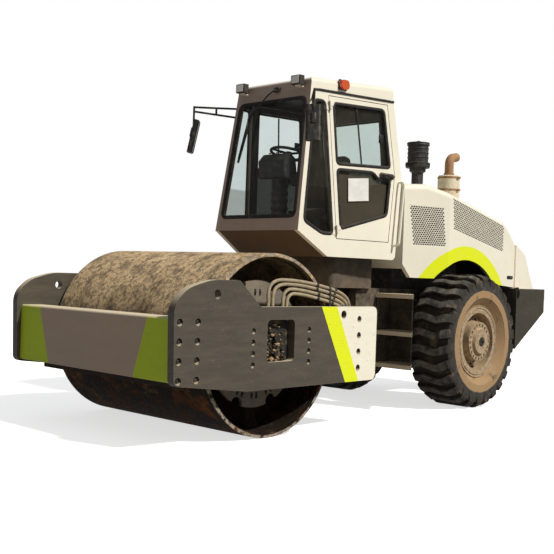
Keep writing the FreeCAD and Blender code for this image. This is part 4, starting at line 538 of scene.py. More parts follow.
def tintedGlass(name, tint, dusty=0.03, low=None, split=2.52, film=0.0):
    # Thin tinted pane, another tint or a film of dust below its split; only outer faces reflect
    values = glassSet
    material, tree = newMaterial(name)
    below, above = split - values["soft"], split + values["soft"]
    if low:
        tint = blend(tree, ramp(tree, axisValue(tree, "Z"), below, above), low, tint)
    clear = put(tree, "BsdfTransparent", {"Color": tint})
    shine = put(tree, "BsdfGlossy", {"Color": values["mirror"], "Roughness": values["rough"]})
    fresnel = put(tree, "Fresnel", {"IOR": values["index"]}).outputs[0]
    outer = calc(tree, "SUBTRACT", 1.0, put(tree, "NewGeometry").outputs["Backfacing"])
    share = times(tree, times(tree, fresnel, outer), values["mirrorShare"])
    pane = put(tree, "MixShader", {0: share, 1: clear.outputs[0], 2: shine.outputs[0]})
    veil = put(tree, "BsdfDiffuse", {"Color": paleDust})
    amount = times(tree, plus(tree, noise(tree, *values["smears"]), noise(tree, *values["specks"])), dusty)
    if film:
        amount = plus(tree, amount, times(tree, ramp(tree, axisValue(tree, "Z"), above, below), film))
    both = put(tree, "MixShader", {0: amount, 1: pane.outputs[0], 2: veil.outputs[0]})
    put(tree, "OutputMaterial", {"Surface": both.outputs[0]})
    return material


look = {
    "cream": paint("creamPaint", creamBase, 0.10, paleDust, 0.30, lowDirtAndLight=1.1, topDust=0.2, speckle=0.04),
    "hoodCream": paint("hoodPaint", creamBase, 0.08, paleDust, 0.30, stripes=archStripe, topDust=0.15, speckle=0.04),
    "cabSide": paint("cabSidePaint", creamBase, 0.08, paleDust, 0.30, stripes=cabStripes, topDust=0.15,
                     speckle=0.03),
    "grille": paint("grillePaint", creamBase, 0.10, paleDust, 0.35, topDust=0.1, speckle=0.04),
    "taupe": paint("taupePaint", taupeBase, 0.22, dustTan, 0.45, 0.5, topDust=0.7),
    "plate": paint("platePaint", taupeBase, 0.10, dustTan, 0.50, 0.35, (0.20, 0.18, 0.15), stripes=plateStripes,
                   topDust=0.9, speckle=0.06, drawn=(0.5, 1.0, 3.0), topColor=paleDust),
    "bumper": paint("bumperPaint", (0.44, 0.34, 0.26), 0.15, (0.25, 0.18, 0.12), 0.55, 0.3, stripes=bumperStripes,
                    topDust=0.9, drawn=(1.0, 0.6, 2.0), topColor=(0.72, 0.62, 0.46)),
    # Cab front frame in the same front colour: dust and painted shade
    "front": paint("frontPaint", frontDustAndShade, 0.18, (0.24, 0.17, 0.12), 0.5, topDust=0.2, speckle=0.10,
                   drawn=(1.0, 2.0, 0.6)),
    "olive": paint("olivePaint", (0.034, 0.030, 0.020), 0.12, (0.20, 0.16, 0.10), 0.6, 0.3, topColor=dustTan),
    "frameBlack": paint("framePaint", (0.028, 0.024, 0.019), 0.55, (0.42, 0.33, 0.225), 0.6, 0.2, lowDirtAndLight=1.2,
                        speckle=0.2),
    "scraper": paint("scraperPaint", (0.020, 0.012, 0.007), 0.30, (0.13, 0.070, 0.035), 0.85, 0.2, topDust=0.5,
                     speckle=0.2),
    "pan": paint("panPaint", (0.14, 0.088, 0.048), 0.35, mudBrown, 0.7, topDust=0.2),
    "rim": paint("rimPaint", (0.30, 0.215, 0.130), 0.95, (0.60, 0.48, 0.33), 0.7, 0.5, (0.11, 0.055, 0.025),
                 speckle=0.35, topDust=0.3, drawn=(5.0, 5.0, 5.0), topColor=tan),
    "carrier": paint("carrierPaint", (0.17, 0.155, 0.135), 0.45, dustTan, 0.8, 0.4, rust, speckle=0.4),
    "step": paint("stepPaint", (0.048, 0.042, 0.034), 0.40, dustTan, 0.7, 0.5, stripes=stepStripes, topDust=0.9),
    # Plinth's lower part dusted paler: dust and painted sunlight below its shaded top
    "plinth": paint("plinthPaint", (0.028, 0.024, 0.020), 0.55, (0.25, 0.19, 0.13), 0.7, 0.2, lowDirtAndLight=1.70,
                    speckle=0.2),
    "lamp": paint("lampBody", (0.020, 0.020, 0.021), 0.15, dustTan, 0.45, stripes=lampStripes, topDust=0.2),
    "exhaust": paint("stackPaint", (0.86, 0.78, 0.60), 0.45, (0.42, 0.29, 0.15), 0.7, 0.3, rust,
                     stripes=stackStripes, topDust=0.3, speckle=0.35),
    "black": plainFinish("blackPaint", (0.014, 0.014, 0.015), 0.42, spotAmount=0.18, dusty=0.35),
    "gasket": plainFinish("gasketRubber", (0.010, 0.010, 0.011), 0.75, spotAmount=0.10, dusty=0.2),
    "plastic": plainFinish("mouldedPlastic", (0.026, 0.028, 0.030), 0.55, spotAmount=0.15, dusty=0.25,
                           bumpScale=420.0),
    "hose": plainFinish("dustyHose", (0.42, 0.35, 0.24), 0.85, spots=30.0, spotColor=(0.10, 0.085, 0.06),
                        spotAmount=0.5, dusty=0.0),
    "isolator": plainFinish("mountRubber", (0.05, 0.045, 0.04), 0.9, spotColor=tan, spotAmount=0.6),
    "iron": plainFinish("castIron", (0.10, 0.098, 0.092), 0.65, 0.2, spotAmount=0.4, bumpScale=60.0, strength=0.4),
    "chrome": plainFinish("cylinderChrome", (0.75, 0.75, 0.77), 0.14, 1.0, spotAmount=0.08, dusty=0.1,
                          strength=0.02),
    "bolt": plainFinish("boltSteel", (0.33, 0.31, 0.28), 0.45, 0.7, spotColor=rust, spotAmount=0.35, dusty=0.2),
    "darkBolt": plainFinish("darkBolt", (0.020, 0.018, 0.016), 0.7, spotAmount=0.2),
    "motor": plainFinish("motorIron", (0.018, 0.016, 0.014), 0.85, spots=18.0, spotColor=tan, bumpScale=40.0,
                         strength=0.6),
    # Pale crescents in the plates' wells: painted sunlight, given a dusty finish
    "dust": plainFinish("wellLitCrescent", (0.50, 0.42, 0.31), 0.95, spots=60.0, spotColor=mudBrown, spotAmount=0.4,
                        dusty=0.0, strength=0.5),
    "clay": plainFinish("dryClay", tan, 0.95, spots=60.0, spotColor=mudBrown, spotAmount=0.4, dusty=0.0,
                        bumpScale=70.0, strength=0.7),
    "mud": plainFinish("darkMud", (0.035, 0.024, 0.016), 0.9, spots=50.0, spotAmount=0.4, dusty=0.0,
                       bumpScale=70.0, strength=0.7),
    "pipe": plainFinish("pipeRust", (0.40, 0.22, 0.10), 0.8, 0.1, spots=12.0, spotColor=paleDust, spotAmount=0.5),
    "lens": plainFinish("lampLens", (0.96, 0.94, 0.90), 0.30, spotAmount=0.1, bumpScale=180.0, strength=0.8,
                        Coat_Weight=0.6),
    "amber": plainFinish("markerLens", (0.75, 0.10, 0.02), 0.2, spotAmount=0.05, dusty=0.15, Coat_Weight=0.5),
    "sheet": plainFinish("paperSheet", (0.86, 0.86, 0.84), 0.8, spotAmount=0.05),
    "mirror": plainFinish("mirrorFace", (0.75, 0.78, 0.80), 0.03, 1.0, spotAmount=0.06, dusty=0.0, strength=0.0),
    "drum": mudSteel("drumSkin", drumSet),
    "tyre": tyreRubber("tyreRubber", rubberSet),
    "seat": weave("seatWeave", weaveSet),
    "screenGlass": tintedGlass("screenGlass", (0.93, 0.95, 0.95), 0.02),
    "glass": tintedGlass("windowGlass", (0.82, 0.86, 0.85), low=(0.62, 0.64, 0.62), split=2.30),
    "doorGlass": tintedGlass("doorGlass", (0.88, 0.91, 0.90), low=(0.20, 0.21, 0.20), film=0.085),
}
print("materials ready")

# The looks of the nodes that are carried over
nodeLooks = {
    "plate": "left_side_plate right_side_plate",
    "bumper": "front_beam",
    "taupe": "rear_beam",
    "scraper": "drum_scrapers",
    "frameBlack": "hitch_block left_cylinder_barrel right_cylinder_barrel rear_axle chassis",
    "drum": "drum_shell",
    "carrier": "drum_carriers",
    "isolator": "drum_isolators",
    "motor": "drum_motors",
    "hose": "drum_hoses",
    "chrome": "left_cylinder_rod right_cylinder_rod",
    "tyre": "left_tyre right_tyre",
    "rim": "left_rim right_rim",
    "iron": "engine",
    "olive": "counterweight",
    "step": "access_steps",
    "plinth": "cab_plinth",
    "pan": "cab_floor",
    "front": "cab_front_frame",
    "cabSide": "cab_side_walls left_door right_door cab_rear_wall cab_roof",
    "cream": "tail_panel grab_rails",
    "hoodCream": "engine_hood",
    "screenGlass": "windscreen",
    "glass": "fixed_glass",
    "doorGlass": "left_door_glass right_door_glass",
    "black": "mirrors hood_grilles hose_clamp seat_pedestal",
    "plastic": "steering_console steering_wheel air_cleaner",
    "seat": "seat_cushions",
    "lamp": "work_lamps",
    "amber": "marker_lamps",
    "exhaust": "exhaust",
}
for lookName, names in nodeLooks.items():
    for name in names.split():
        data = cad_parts[name].data
        data.materials.clear()
        data.materials.append(look[lookName])
print("carried nodes dressed")

# Piece building
upX, upY, upZ = Vector((1, 0, 0)), Vector((0, 1, 0)), Vector((0, 0, 1))
level = (upX, upY, upZ)
sides = (("left", 1), ("right", -1))
square = ((-1, -1), (1, -1), (1, 1), (-1, 1))
boltSet = {"washer": 1.35, "thick": 0.22, "high": 0.8, "straight": 0.85, "top": 0.86}


def crossAxes(axis):
    axis = Vector(axis).normalized()
    helper = upZ if abs(axis.z) < 0.9 else upX
    side = helper.cross(axis).normalized()
    return axis, side, axis.cross(side)


def turns(count):
    return [2 * math.pi * index / count for index in range(count)]


def around(middle, angle, radius, first=upX, second=upZ):
    return Vector(middle) + (first * math.cos(angle) + second * math.sin(angle)) * radius


def skin(mesh, low, high):
    for index in range(len(low)):
        after = (index + 1) % len(low)
        mesh.faces.new((low[index], low[after], high[after], high[index]))


def joinLoops(mesh, loops, ring=False):
    # Skin from loop to loop, capped at both ends unless they make a ring
    for low, high in zip(loops, loops[1:] + loops[:1] if ring else loops[1:]):
        skin(mesh, low, high)
    for cap in () if ring else (loops[0], loops[-1]):
        mesh.faces.new(cap)


def addDisc(mesh, start, axis, rings, count=12):
    # Rings of (distance along the axis, radius)
    axis, side, up = crossAxes(axis)
    joinLoops(mesh, [[mesh.verts.new(around(Vector(start) + axis * along, angle, radius, side, up))
                      for angle in turns(count)] for along, radius in rings])


def addBolt(mesh, place, axis, radius, height=None):
    # A hexagon head on its washer
    values = boltSet
    height = height or radius * values["high"]
    wide, thick = radius * values["washer"], radius * values["thick"]
    addDisc(mesh, place, axis, [(0, wide), (thick, wide)])
    addDisc(mesh, place + axis * thick, axis,
            [(0, radius), (height * values["straight"], radius), (height, radius * values["top"])], 6)


def addBlock(mesh, middle, ways, halves, ease=0.0, segments=2):
    # A block from its middle, three directions and half lengths, with eased edges
    corners = []
    for signs in itertools.product((-1, 1), repeat=3):
        offset = sum((way * sign * half for way, sign, half in zip(ways, signs, halves)), Vector())
        corners.append(mesh.verts.new(Vector(middle) + offset))
    faces = [mesh.faces.new([corners[index] for index in four]) for four in
             ((0, 1, 3, 2), (4, 6, 7, 5), (0, 4, 5, 1), (2, 3, 7, 6), (0, 2, 6, 4), (1, 5, 7, 3))]
    if ease:
        rim = list(dict.fromkeys(edge for face in faces for edge in face.edges))
        bmesh.ops.bevel(mesh, geom=rim, offset=ease, segments=segments, affect="EDGES", profile=0.5)


def addTube(mesh, points, radius, count=8, closed=False, out=None, flat=1.0):
    # A tube along points; with a fixed outward direction its section is flattened that way
    points = [Vector(point) for point in points]
    loops, up = [], None
    for index, point in enumerate(points):
        before = points[index - 1] if closed or index else point
        after = points[(index + 1) % len(points)] if closed or index < len(points) - 1 else point
        way = (after - before).normalized()
        held = out or up
        up = (held - way * held.dot(way)).normalized() if held else crossAxes(way)[1]
        loops.append([mesh.verts.new(around(point, angle, radius, way.cross(up), up * flat))
                      for angle in turns(count)])
    joinLoops(mesh, loops, closed)


def roundedPath(corners, ease, steps=4, closed=True, most=0.45):
    # Straight runs whose corners are eased by short curves
    corners = [Vector(corner) for corner in corners]
    path = [] if closed else [corners[0]]
    for index in range(len(corners)) if closed else range(1, len(corners) - 1):
        here = corners[index]
        first, last = (here + run.normalized() * min(ease, run.length * most)
                       for run in (corners[index - 1] - here, corners[(index + 1) % len(corners)] - here))
        for t in (step / steps for step in range(steps + 1)):
            path.append(first * (1 - t) ** 2 + here * 2 * t * (1 - t) + last * t ** 2)
    return path if closed else path + [corners[-1]]


def addRim(mesh, corners, ease, radius, count=6, out=None, flat=1.0):
    addTube(mesh, roundedPath(corners, ease), radius, count, True, out, flat)


def addRod(mesh, corners, ease, radius, steps=4, count=8):
    addTube(mesh, roundedPath(corners, ease, steps, False), radius, count)


def finishPiece(mesh, name, lookName, body, sharp=38.0):
    bmesh.ops.recalc_face_normals(mesh, faces=mesh.faces)
    for edge in mesh.edges:
        edge.smooth = len(edge.link_faces) == 2 and edge.calc_face_angle() < math.radians(sharp)
    for face in mesh.faces:
        face.smooth = True
    data = bpy.data.meshes.new(name)
    mesh.to_mesh(data)
    mesh.free()
    data.materials.append(look[lookName])
    piece = addObject(name, data)
    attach(piece, body)
    return piece


# Perforated grille sheets, flush with the hood's sides, each with a dark sheet behind it as painted shade inside the
# hood
grilleSet = {
    "pitch": (0.0330, 0.0210),
    "slotHalf": (0.0136, 0.0083),
    "easing": ((-0.74, -1), (0, -1), (0.74, -1), (1, 0), (0.74, 1), (0, 1), (-0.74, 1), (-1, 0)),
    "recess": 0.0006,
    "wall": 0.003,
    # depths of the dark sheet behind each opening: painted shade inside the hood
    "screen": (0.0050, 0.0065),
    # corners as (x, z) from the low front one: the opening, then the field of slots in it
    "grilles": ((((-0.480, 1.775), (-1.010, 1.775), (-1.010, 2.215), (-0.480, 2.215)),
                 ((-0.548, 1.787), (-1.006, 1.790), (-0.958, 2.211), (-0.484, 2.211))),
                (((-1.095, 1.975), (-2.230, 1.768), (-2.230, 2.095), (-1.095, 2.340)),
                 ((-1.130, 1.990), (-2.218, 1.778), (-2.226, 2.085), (-1.099, 2.332)))),
}


def addGrille(mesh, opening, field, side, values):
    opening, field = [Vector(corner) for corner in opening], [Vector(corner) for corner in field]
    wide = ((field[1] - field[0]).length + (field[2] - field[3]).length) / 2
    high = ((field[3] - field[0]).length + (field[2] - field[1]).length) / 2
    columns, rows = round(wide / values["pitch"][0] - 0.5), round(high / values["pitch"][1])
    cellWide, cellHigh = 1.0 / (columns + 0.5), 1.0 / rows
    halfWide, halfHigh = values["slotHalf"][0] / wide, values["slotHalf"][1] / high

    def pin(place, depth=0.0):
        return mesh.verts.new(onHood(place.x, place.y, values["recess"] + depth, side))

    def spot(across, up, depth=0.0):
        return pin(field[0].lerp(field[1], across).lerp(field[3].lerp(field[2], across), up), depth)

    for index in range(4):
        after = (index + 1) % 4
        mesh.faces.new([pin(place) for place in (field[index], field[after], opening[after], opening[index])])
    for row in range(rows):
        low, top = row * cellHigh, (row + 1) * cellHigh
        # every other row is shifted by half a slot, so it has a blank half cell at its other end
        shift = 0.5 * cellWide * (row % 2)
        start, end = (0.0, shift) if row % 2 else (1.0 - 0.5 * cellWide, 1.0)
        mesh.faces.new([spot(start, low), spot(end, low), spot(end, top), spot(start, top)])
        for column in range(columns):
            left, right = column * cellWide + shift, (column + 1) * cellWide + shift
            midX, midZ = (left + right) / 2, (low + top) / 2
            border = ((left, low), (midX, low), (right, low), (right, midZ), (right, top), (midX, top), (left, top),
                      (left, midZ))
            cell = [spot(a, b) for a, b in border]
            rim, deep = ([spot(midX + a * halfWide, midZ + b * halfHigh, depth) for a, b in values["easing"]]
                         for depth in (0.0, values["wall"]))
            skin(mesh, cell, rim)
            skin(mesh, rim, deep)


def makeGrilles(values):
    sheets, shadeSheets = bmesh.new(), bmesh.new()
    for _, side in sides:
        for opening, field in values["grilles"]:
            addGrille(sheets, opening, field, side, values)
            joinLoops(shadeSheets, [[shadeSheets.verts.new(onHood(x, z, depth, side)) for x, z in opening]
                                for depth in values["screen"]])
    piece = finishPiece(sheets, "grille_sheets", "grille", "hood", 30.0)
    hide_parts("hood_grilles")
    finishPiece(shadeSheets, "grille_shade_sheets", "plastic", "hood")


makeGrilles(grilleSet)
print("grilles ready")

# Bolts in the side plates' wells, and a pale heap at the bottom of each well: painted sunlight on its lower inner edge,
# built as settled dust; stations are x, highest z, pitch and radius
wellSet = {
    "stations": ((3.081, 1.0227, 0.1521, 0.030), (2.894, 1.0227, 0.1521, 0.030), (0.873, 1.0227, 0.1521, 0.030),
                 (2.275, 0.9384, 0.0944, 0.025), (1.580, 0.9384, 0.0944, 0.025)),
    "rows": 4,
    "seed": 11,
    "foot": 0.026,
    "bolt": (0.52, 0.012),
    "crescentOut": 0.010,
    "arc": (205, 335),
    "steps": 8,
    "radii": (0.99, 0.98),
    "lift": (0.55, 0.75),
}


def makeWells(values):
    bolts, dust = bmesh.new(), bmesh.new()
    chance = random.Random(values["seed"])
    share, boltHigh = values["bolt"]
    start, end = values["arc"]
    outer, inner = values["radii"]
    for _, side in sides:
        for (x, top, pitch, radius), row in itertools.product(values["stations"], range(values["rows"])):
            z = top - pitch * row
            foot = Vector((x, (plateFace - values["foot"]) * side, z))
            addBolt(bolts, foot, upY * side, radius * share, boltHigh)
            lift = chance.uniform(*values["lift"])
            arc = [math.radians(start + (end - start) * step / values["steps"]) for step in range(values["steps"] + 1)]
            outline = [around((0, 0, 0), angle, radius * outer) for angle in arc]
            outline += [around((0, 0, 0), angle, radius * inner, upX * inner, upZ * lift) for angle in arc[::-1]]
            # pale crescent at the well's foot: painted sunlight on the lower inner edge
            face = Vector((x, (plateFace - values["crescentOut"]) * side, z))
            front, back = ([dust.verts.new(place + point) for point in outline] for place in (face, foot))
            dust.faces.new(front)
            skin(dust, front, back)
    finishPiece(bolts, "plate_bolts", "darkBolt", "front_frame")
    finishPiece(dust, "well_lit_crescents", "dust", "front_frame")


makeWells(wellSet)

# Gaskets round the cab's panes
paneSet = {
    "border": 0.062,
    "top": 3.215,
    "rise": 0.038,
    "rail": (2.492, 2.548),
    "low": 1.797,
    "lowSteps": (1.6, 4.5, 1.3),
    "notch": ((4.2, 0.0), (5.4, 1.3)),
    "notchX": -0.285,
    "quarter": (1.838, 1.950),
    "quarterFront": 0.070,
    "quarterRear": (0.060, 0.204),
    "screen": (1.990, 3.172),
    "rear": ((-0.43, 2.25), (0.43, 2.25), (0.43, 2.48), (0.43, 3.12), (-0.43, 3.12), (-0.43, 2.48)),
    "flat": 0.55,
    # corner and half width of the doors', the windscreen's and the rear pane's gasket
    "door": (0.045, 0.017),
    "front": (0.06, 0.020),
    "back": (0.05, 0.017),
}


def paneOutlines(values):
    border, rise, (lower, upper) = values["border"], values["rise"], values["rail"]
    top = values["top"] - border
    foot, heel = (values["low"] + border * step for step in values["lowSteps"][:2])
    heelZ, lowZ = values["quarter"]
    notchZ = lower + rise - border * values["lowSteps"][2]
    notchX = values["notchX"]

    def ahead(z):
        return edgeX(doorFrontLine, z) - border, z

    def behind(z):
        return edgeX(doorRearLine, z) + border, z
    return {
        "upper": [ahead(upper), behind(upper + rise), behind(top + rise), ahead(top)],
        "lower": [ahead(foot), behind(heel), behind(notchZ), (notchX + border * values["notch"][0][0], notchZ),
                  (notchX + border * values["notch"][1][0], lower + rise / 2), ahead(lower)],
        "quarter": [(edgeX(doorFrontLine, heelZ) + shift, heelZ) for shift in values["quarterRear"]]
        + [(screenX(z) - values["quarterFront"], z) for z in (lowZ, top)]
        + [(edgeX(doorFrontLine, top) + values["quarterRear"][0], top)],
    }


def makeGaskets(values):
    panes = paneOutlines(values)
    fixed = bmesh.new()
    flat = values["flat"]
    for name, side in sides:
        leaf = bmesh.new()
        for mesh, pane in ((fixed, "quarter"), (leaf, "upper"), (leaf, "lower")):
            addRim(mesh, [onSide(x, z, 0.0, side) for x, z in panes[pane]], *values["door"], 8,
                   mirrored(sideOut, side), flat)
        finishPiece(leaf, f"{name}_door_gaskets", "gasket", f"{name}_door_leaf", 60.0)
    ends = [(sideY(x, z) - values["border"], z) for x, z in zip((cabNose["x"], screenTop), values["screen"])]
    corners = [Vector((screenX(ends[up][1]), ends[up][0] * way, ends[up][1]))
               for way, up in ((-1, 0), (1, 0), (1, 1), (-1, 1))]
    addRim(fixed, corners, *values["front"], 8, screenOut, flat)
    corners = [(edgeX(cabRearLine, z), y, z) for y, z in values["rear"]]
    addRim(fixed, corners, *values["back"], 8, -upX, flat)
    finishPiece(fixed, "cab_gaskets", "gasket", "rear_frame", 60.0)


# Door fittings; places are (x, z, out of the door's face), blocks a place, half lengths and easing
doorSet = {
    "divider": ((0.275, 3.146, -0.018), (0.209, 2.560, -0.018)),
    "dividerHalf": (0.013, 0.5),
    "grip": ((-0.068, 2.492, 0.002), (-0.074, 2.497, 0.045), (-0.238, 2.487, 0.045), (-0.246, 2.485, 0.002)),
    "gripHalf": (0.025, 0.012),
    "lock": ((-0.205, 2.462, 0.012), ((0, 0.012), (0.006, 0.011)), 16),
    "blocks": (((-0.158, 2.492, 0.006), (0.115, 0.030, 0.006), 0.005),
               ((-0.091, 2.881, -0.012), (0.030, 0.045, 0.012), 0.006)),
    "seal": ((0.6105, 1.7935, -0.020), (-0.1685, 1.7935, -0.020), (-0.2885, 2.515, -0.020),
             (-0.1855, 3.2545, -0.020), (0.7005, 3.2185, -0.020)),
    "sealHalf": (0.01, 0.0032),
    "sheet": (0.2675, 2.31425, -0.012),
    "sheetWays": ((0.307, -0.021, -0.029), (-0.004, -0.013, 0.225)),
    "sheetHalf": (0.154, 0.118, 0.0012),
    "sheetEase": 0.0008,
}


def makeDoorFittings(values):
    for name, side in sides:
        out = mirrored(sideOut, side)
        dark, seal, sheet = bmesh.new(), bmesh.new(), bmesh.new()
        divider, grip, border = ([onSide(*place, side) for place in values[key]] for key in ("divider", "grip", "seal"))
        half, flat = values["dividerHalf"]
        addTube(dark, divider, half, 6, False, out, flat)
        addRod(dark, grip, *values["gripHalf"])
        place, rings, count = values["lock"]
        addDisc(dark, onSide(*place, side), out, rings, count)
        for place, halves, ease in values["blocks"]:
            addBlock(dark, onSide(*place, side), (upX, upZ, out), halves, ease)
        finishPiece(dark, f"{name}_door_fittings", "black", f"{name}_door_leaf")
        addRim(seal, border, *values["sealHalf"])
        finishPiece(seal, f"{name}_door_seal", "gasket", "rear_frame", 60.0)
        if name == "left":
            across, up = (Vector(way).normalized() for way in values["sheetWays"])
            addBlock(sheet, onSide(*values["sheet"], side), (across, up, out), values["sheetHalf"],
                     values["sheetEase"], 1)
            finishPiece(sheet, "window_sheet", "sheet", "left_door_leaf")


# Roof gutters, lamps and wiper
trimSet = {
    "gutter": ((0.905, 3.250, 0.004), (0.838, 3.258, 0.007), (-0.284, 3.300, 0.007)),
    "gutterHalf": (0.012, 0.5),
    "marker": (0.500, 3.356, 0.004),
    "markerHalf": (0.066, 0.053, 0.006),
    "lamp": (1.038, 0.390, 3.337),
    "lampRim": (0.002, (0.006, 0.060, 0.045)),
    "lampLens": (0.006, (0.006, 0.050, 0.036)),
    "lampBack": (-0.074, (0.008, 0.030, 0.026)),
    "lampEase": 0.005,
    "bolts": ((0.972, 0.372, 3.284), (0.972, 0.408, 3.284)),
    "small": 0.006,
    "arm": ((0.948, 0.063, 3.278), (0.985, 0.060, 3.281), (1.000, -0.020, 3.235), (1.016, -0.287, 3.003)),
    "armHalf": (0.03, 0.008),
    "motor": ((0.951, 0.063, 3.285), level, (0.020, 0.035, 0.026), 0.008),
    "blade": ((0.993, -0.226, 3.145), (1.075, -0.349, 2.554)),
    "bladeHalf": (0.010, 1.4),
    "springs": ((0.08, 0.015), (0.24, 0.026), (0.92, 0.015)),
    "springHalf": 0.005,
}


def makeCabTrim(values):
    bolts, dark, lens, gutters = bmesh.new(), bmesh.new(), bmesh.new(), bmesh.new()
    half, flat = values["gutterHalf"]
    for _, side in sides:
        out = mirrored(sideOut, side)
        addTube(gutters, [onSide(*place, side) for place in values["gutter"]], half, 8, False, out, flat)
        addBlock(dark, onSide(*values["marker"], side), (upX, upZ, out), values["markerHalf"], values["small"])
        for mesh, key in ((dark, "lampRim"), (lens, "lampLens"), (dark, "lampBack")):
            ahead, halves = values[key]
            addBlock(mesh, mirrored(values["lamp"], side) + upX * ahead, level, halves, values["lampEase"])
        for place in values["bolts"]:
            addBolt(bolts, mirrored(place, side), upZ, values["small"])
    finishPiece(bolts, "lamp_bolts", "bolt", "rear_frame", 60.0)
    finishPiece(gutters, "roof_gutters", "gasket", "rear_frame", 60.0)
    finishPiece(lens, "lamp_lenses", "lens", "rear_frame")
    addRod(dark, values["arm"], *values["armHalf"])
    addBlock(dark, *values["motor"])
    head, tip = (Vector(end) for end in values["blade"])
    half, flat = values["bladeHalf"]
    addTube(dark, [head, tip], half, 6, False, screenOut, flat)
    addTube(dark, [head.lerp(tip, share) + screenOut * out for share, out in values["springs"]],
            values["springHalf"], 6)
    finishPiece(dark, "cab_black_trim", "black", "rear_frame")


mirrorSet = {
    "middle": (1.267, 0.845, 2.840),
    "turn": 46.5,
    "nod": 11.0,
    "glassOut": -0.0290,
    "glass": (0.058, 0.160, 0.0020),
    "glassEase": 0.0015,
    "rimOut": -0.028,
    "rim": (0.064, 0.166),
    "rimHalf": (0.02, 0.007),
    "knob": (0.030, 0.04),
    "knobHalf": (0.022, 0.050, 0.010),
    "knobEase": 0.006,
}


def makeMirrors(values):
    glass, backs = bmesh.new(), bmesh.new()
    turn, nod = math.radians(values["turn"]), math.radians(values["nod"])
    ways = ((-math.sin(turn), math.cos(turn), 0),
            (-math.sin(nod) * math.cos(turn), -math.sin(nod) * math.sin(turn), math.cos(nod)),
            (math.cos(nod) * math.cos(turn), math.cos(nod) * math.sin(turn), math.sin(nod)))
    wide, high = values["rim"]
    knobOut, knobUp = values["knob"]
    for _, side in sides:
        across, up, front = facingWays = [mirrored(way, side) for way in ways]
        middle = mirrored(values["middle"], side)
        addBlock(glass, middle + front * values["glassOut"], facingWays, values["glass"], values["glassEase"], 1)
        addRim(backs, [middle + front * values["rimOut"] + across * wide * a + up * high * b for a, b in square],
               *values["rimHalf"])
        addBlock(backs, middle + front * knobOut + up * knobUp, facingWays, values["knobHalf"], values["knobEase"])
    finishPiece(glass, "mirror_glass", "mirror", "rear_frame")
    finishPiece(backs, "mirror_rims", "black", "rear_frame", 60.0)


makeGaskets(paneSet)
makeDoorFittings(doorSet)
makeCabTrim(trimSet)
makeMirrors(mirrorSet)
print("cab trim ready")

# Seat cushions: crowned pads with pressed channels and piped seams
seatSet = {
    "squabMiddle": (0.210, 0.0, 2.062),
    "squabHalf": (0.240, 0.238, 0.056),
    "backFoot": (0.025, 0.0, 2.128),
    "backHalf": (0.222, 0.300, 0.050),
    "backTilt": 8.0,
    "segments": (44, 36),
    "powers": (0.30, 0.35, 0.45),
    "crown": 0.018,
    "channel": (0.006, 0.06),
    "lines": (-0.52, 0.52),
    "piping": (0.965, 0.62),
    "pipingHalf": (0.06, 0.005),
}


def addPad(mesh, middle, ways, halves, values):
    # A boxy rounded pad: the first two directions lie in its face, the third is its outward side
    across, along = values["segments"]
    square, waist, face = values["powers"]
    deep, wide = values["channel"]
    rows = []

    def bend(value, power):
        return math.copysign(abs(value) ** power, value)
    for polar in (-math.pi / 2 + math.pi * index / along for index in range(along + 1)):
        ring, c = abs(math.cos(polar)) ** waist, bend(math.sin(polar), face)
        row = []
        for turn in turns(across):
            a, b = bend(math.cos(turn), square) * ring, bend(math.sin(turn), square) * ring
            lift = 0.0
            if c > 0:
                lift = values["crown"] * (1 - a * a) * (1 - b * b)
                for line in values["lines"]:
                    lift -= deep * math.exp(-((b - line) / wide) ** 2) * (1 - a ** 4)
            row.append(mesh.verts.new(Vector(middle) + ways[0] * a * halves[0] + ways[1] * b * halves[1]
                                      + ways[2] * (c * halves[2] + lift)))
        rows.append(row)
    for low, high in zip(rows, rows[1:]):
        skin(mesh, low, high)
    bmesh.ops.remove_doubles(mesh, verts=list(mesh.verts), dist=1e-5)


def makeSeat(values):
    tilt = math.radians(values["backTilt"])
    up, forward = Vector((-math.sin(tilt), 0, math.cos(tilt))), Vector((math.cos(tilt), 0, math.sin(tilt)))
    backMiddle = Vector(values["backFoot"]) + up * values["backHalf"][1]
    share, rise = values["piping"]
    for name, place, ways, halves in (("seat_squab", values["squabMiddle"], level, values["squabHalf"]),
                                      ("seat_back", backMiddle, (upY, up, forward), values["backHalf"])):
        mesh, rim = bmesh.new(), bmesh.new()
        addPad(mesh, place, ways, halves, values)
        pad = finishPiece(mesh, name, "seat", "rear_frame", 80.0)
        if name == "seat_squab":
            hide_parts("seat_cushions")
        corners = [Vector(place) + ways[0] * a * halves[0] * share + ways[1] * b * halves[1] * share
                   + ways[2] * halves[2] * rise for a, b in square]
        addRim(rim, corners, *values["pipingHalf"])
        finishPiece(rim, f"{name}_piping", "gasket", "rear_frame", 70.0)


makeSeat(seatSet)

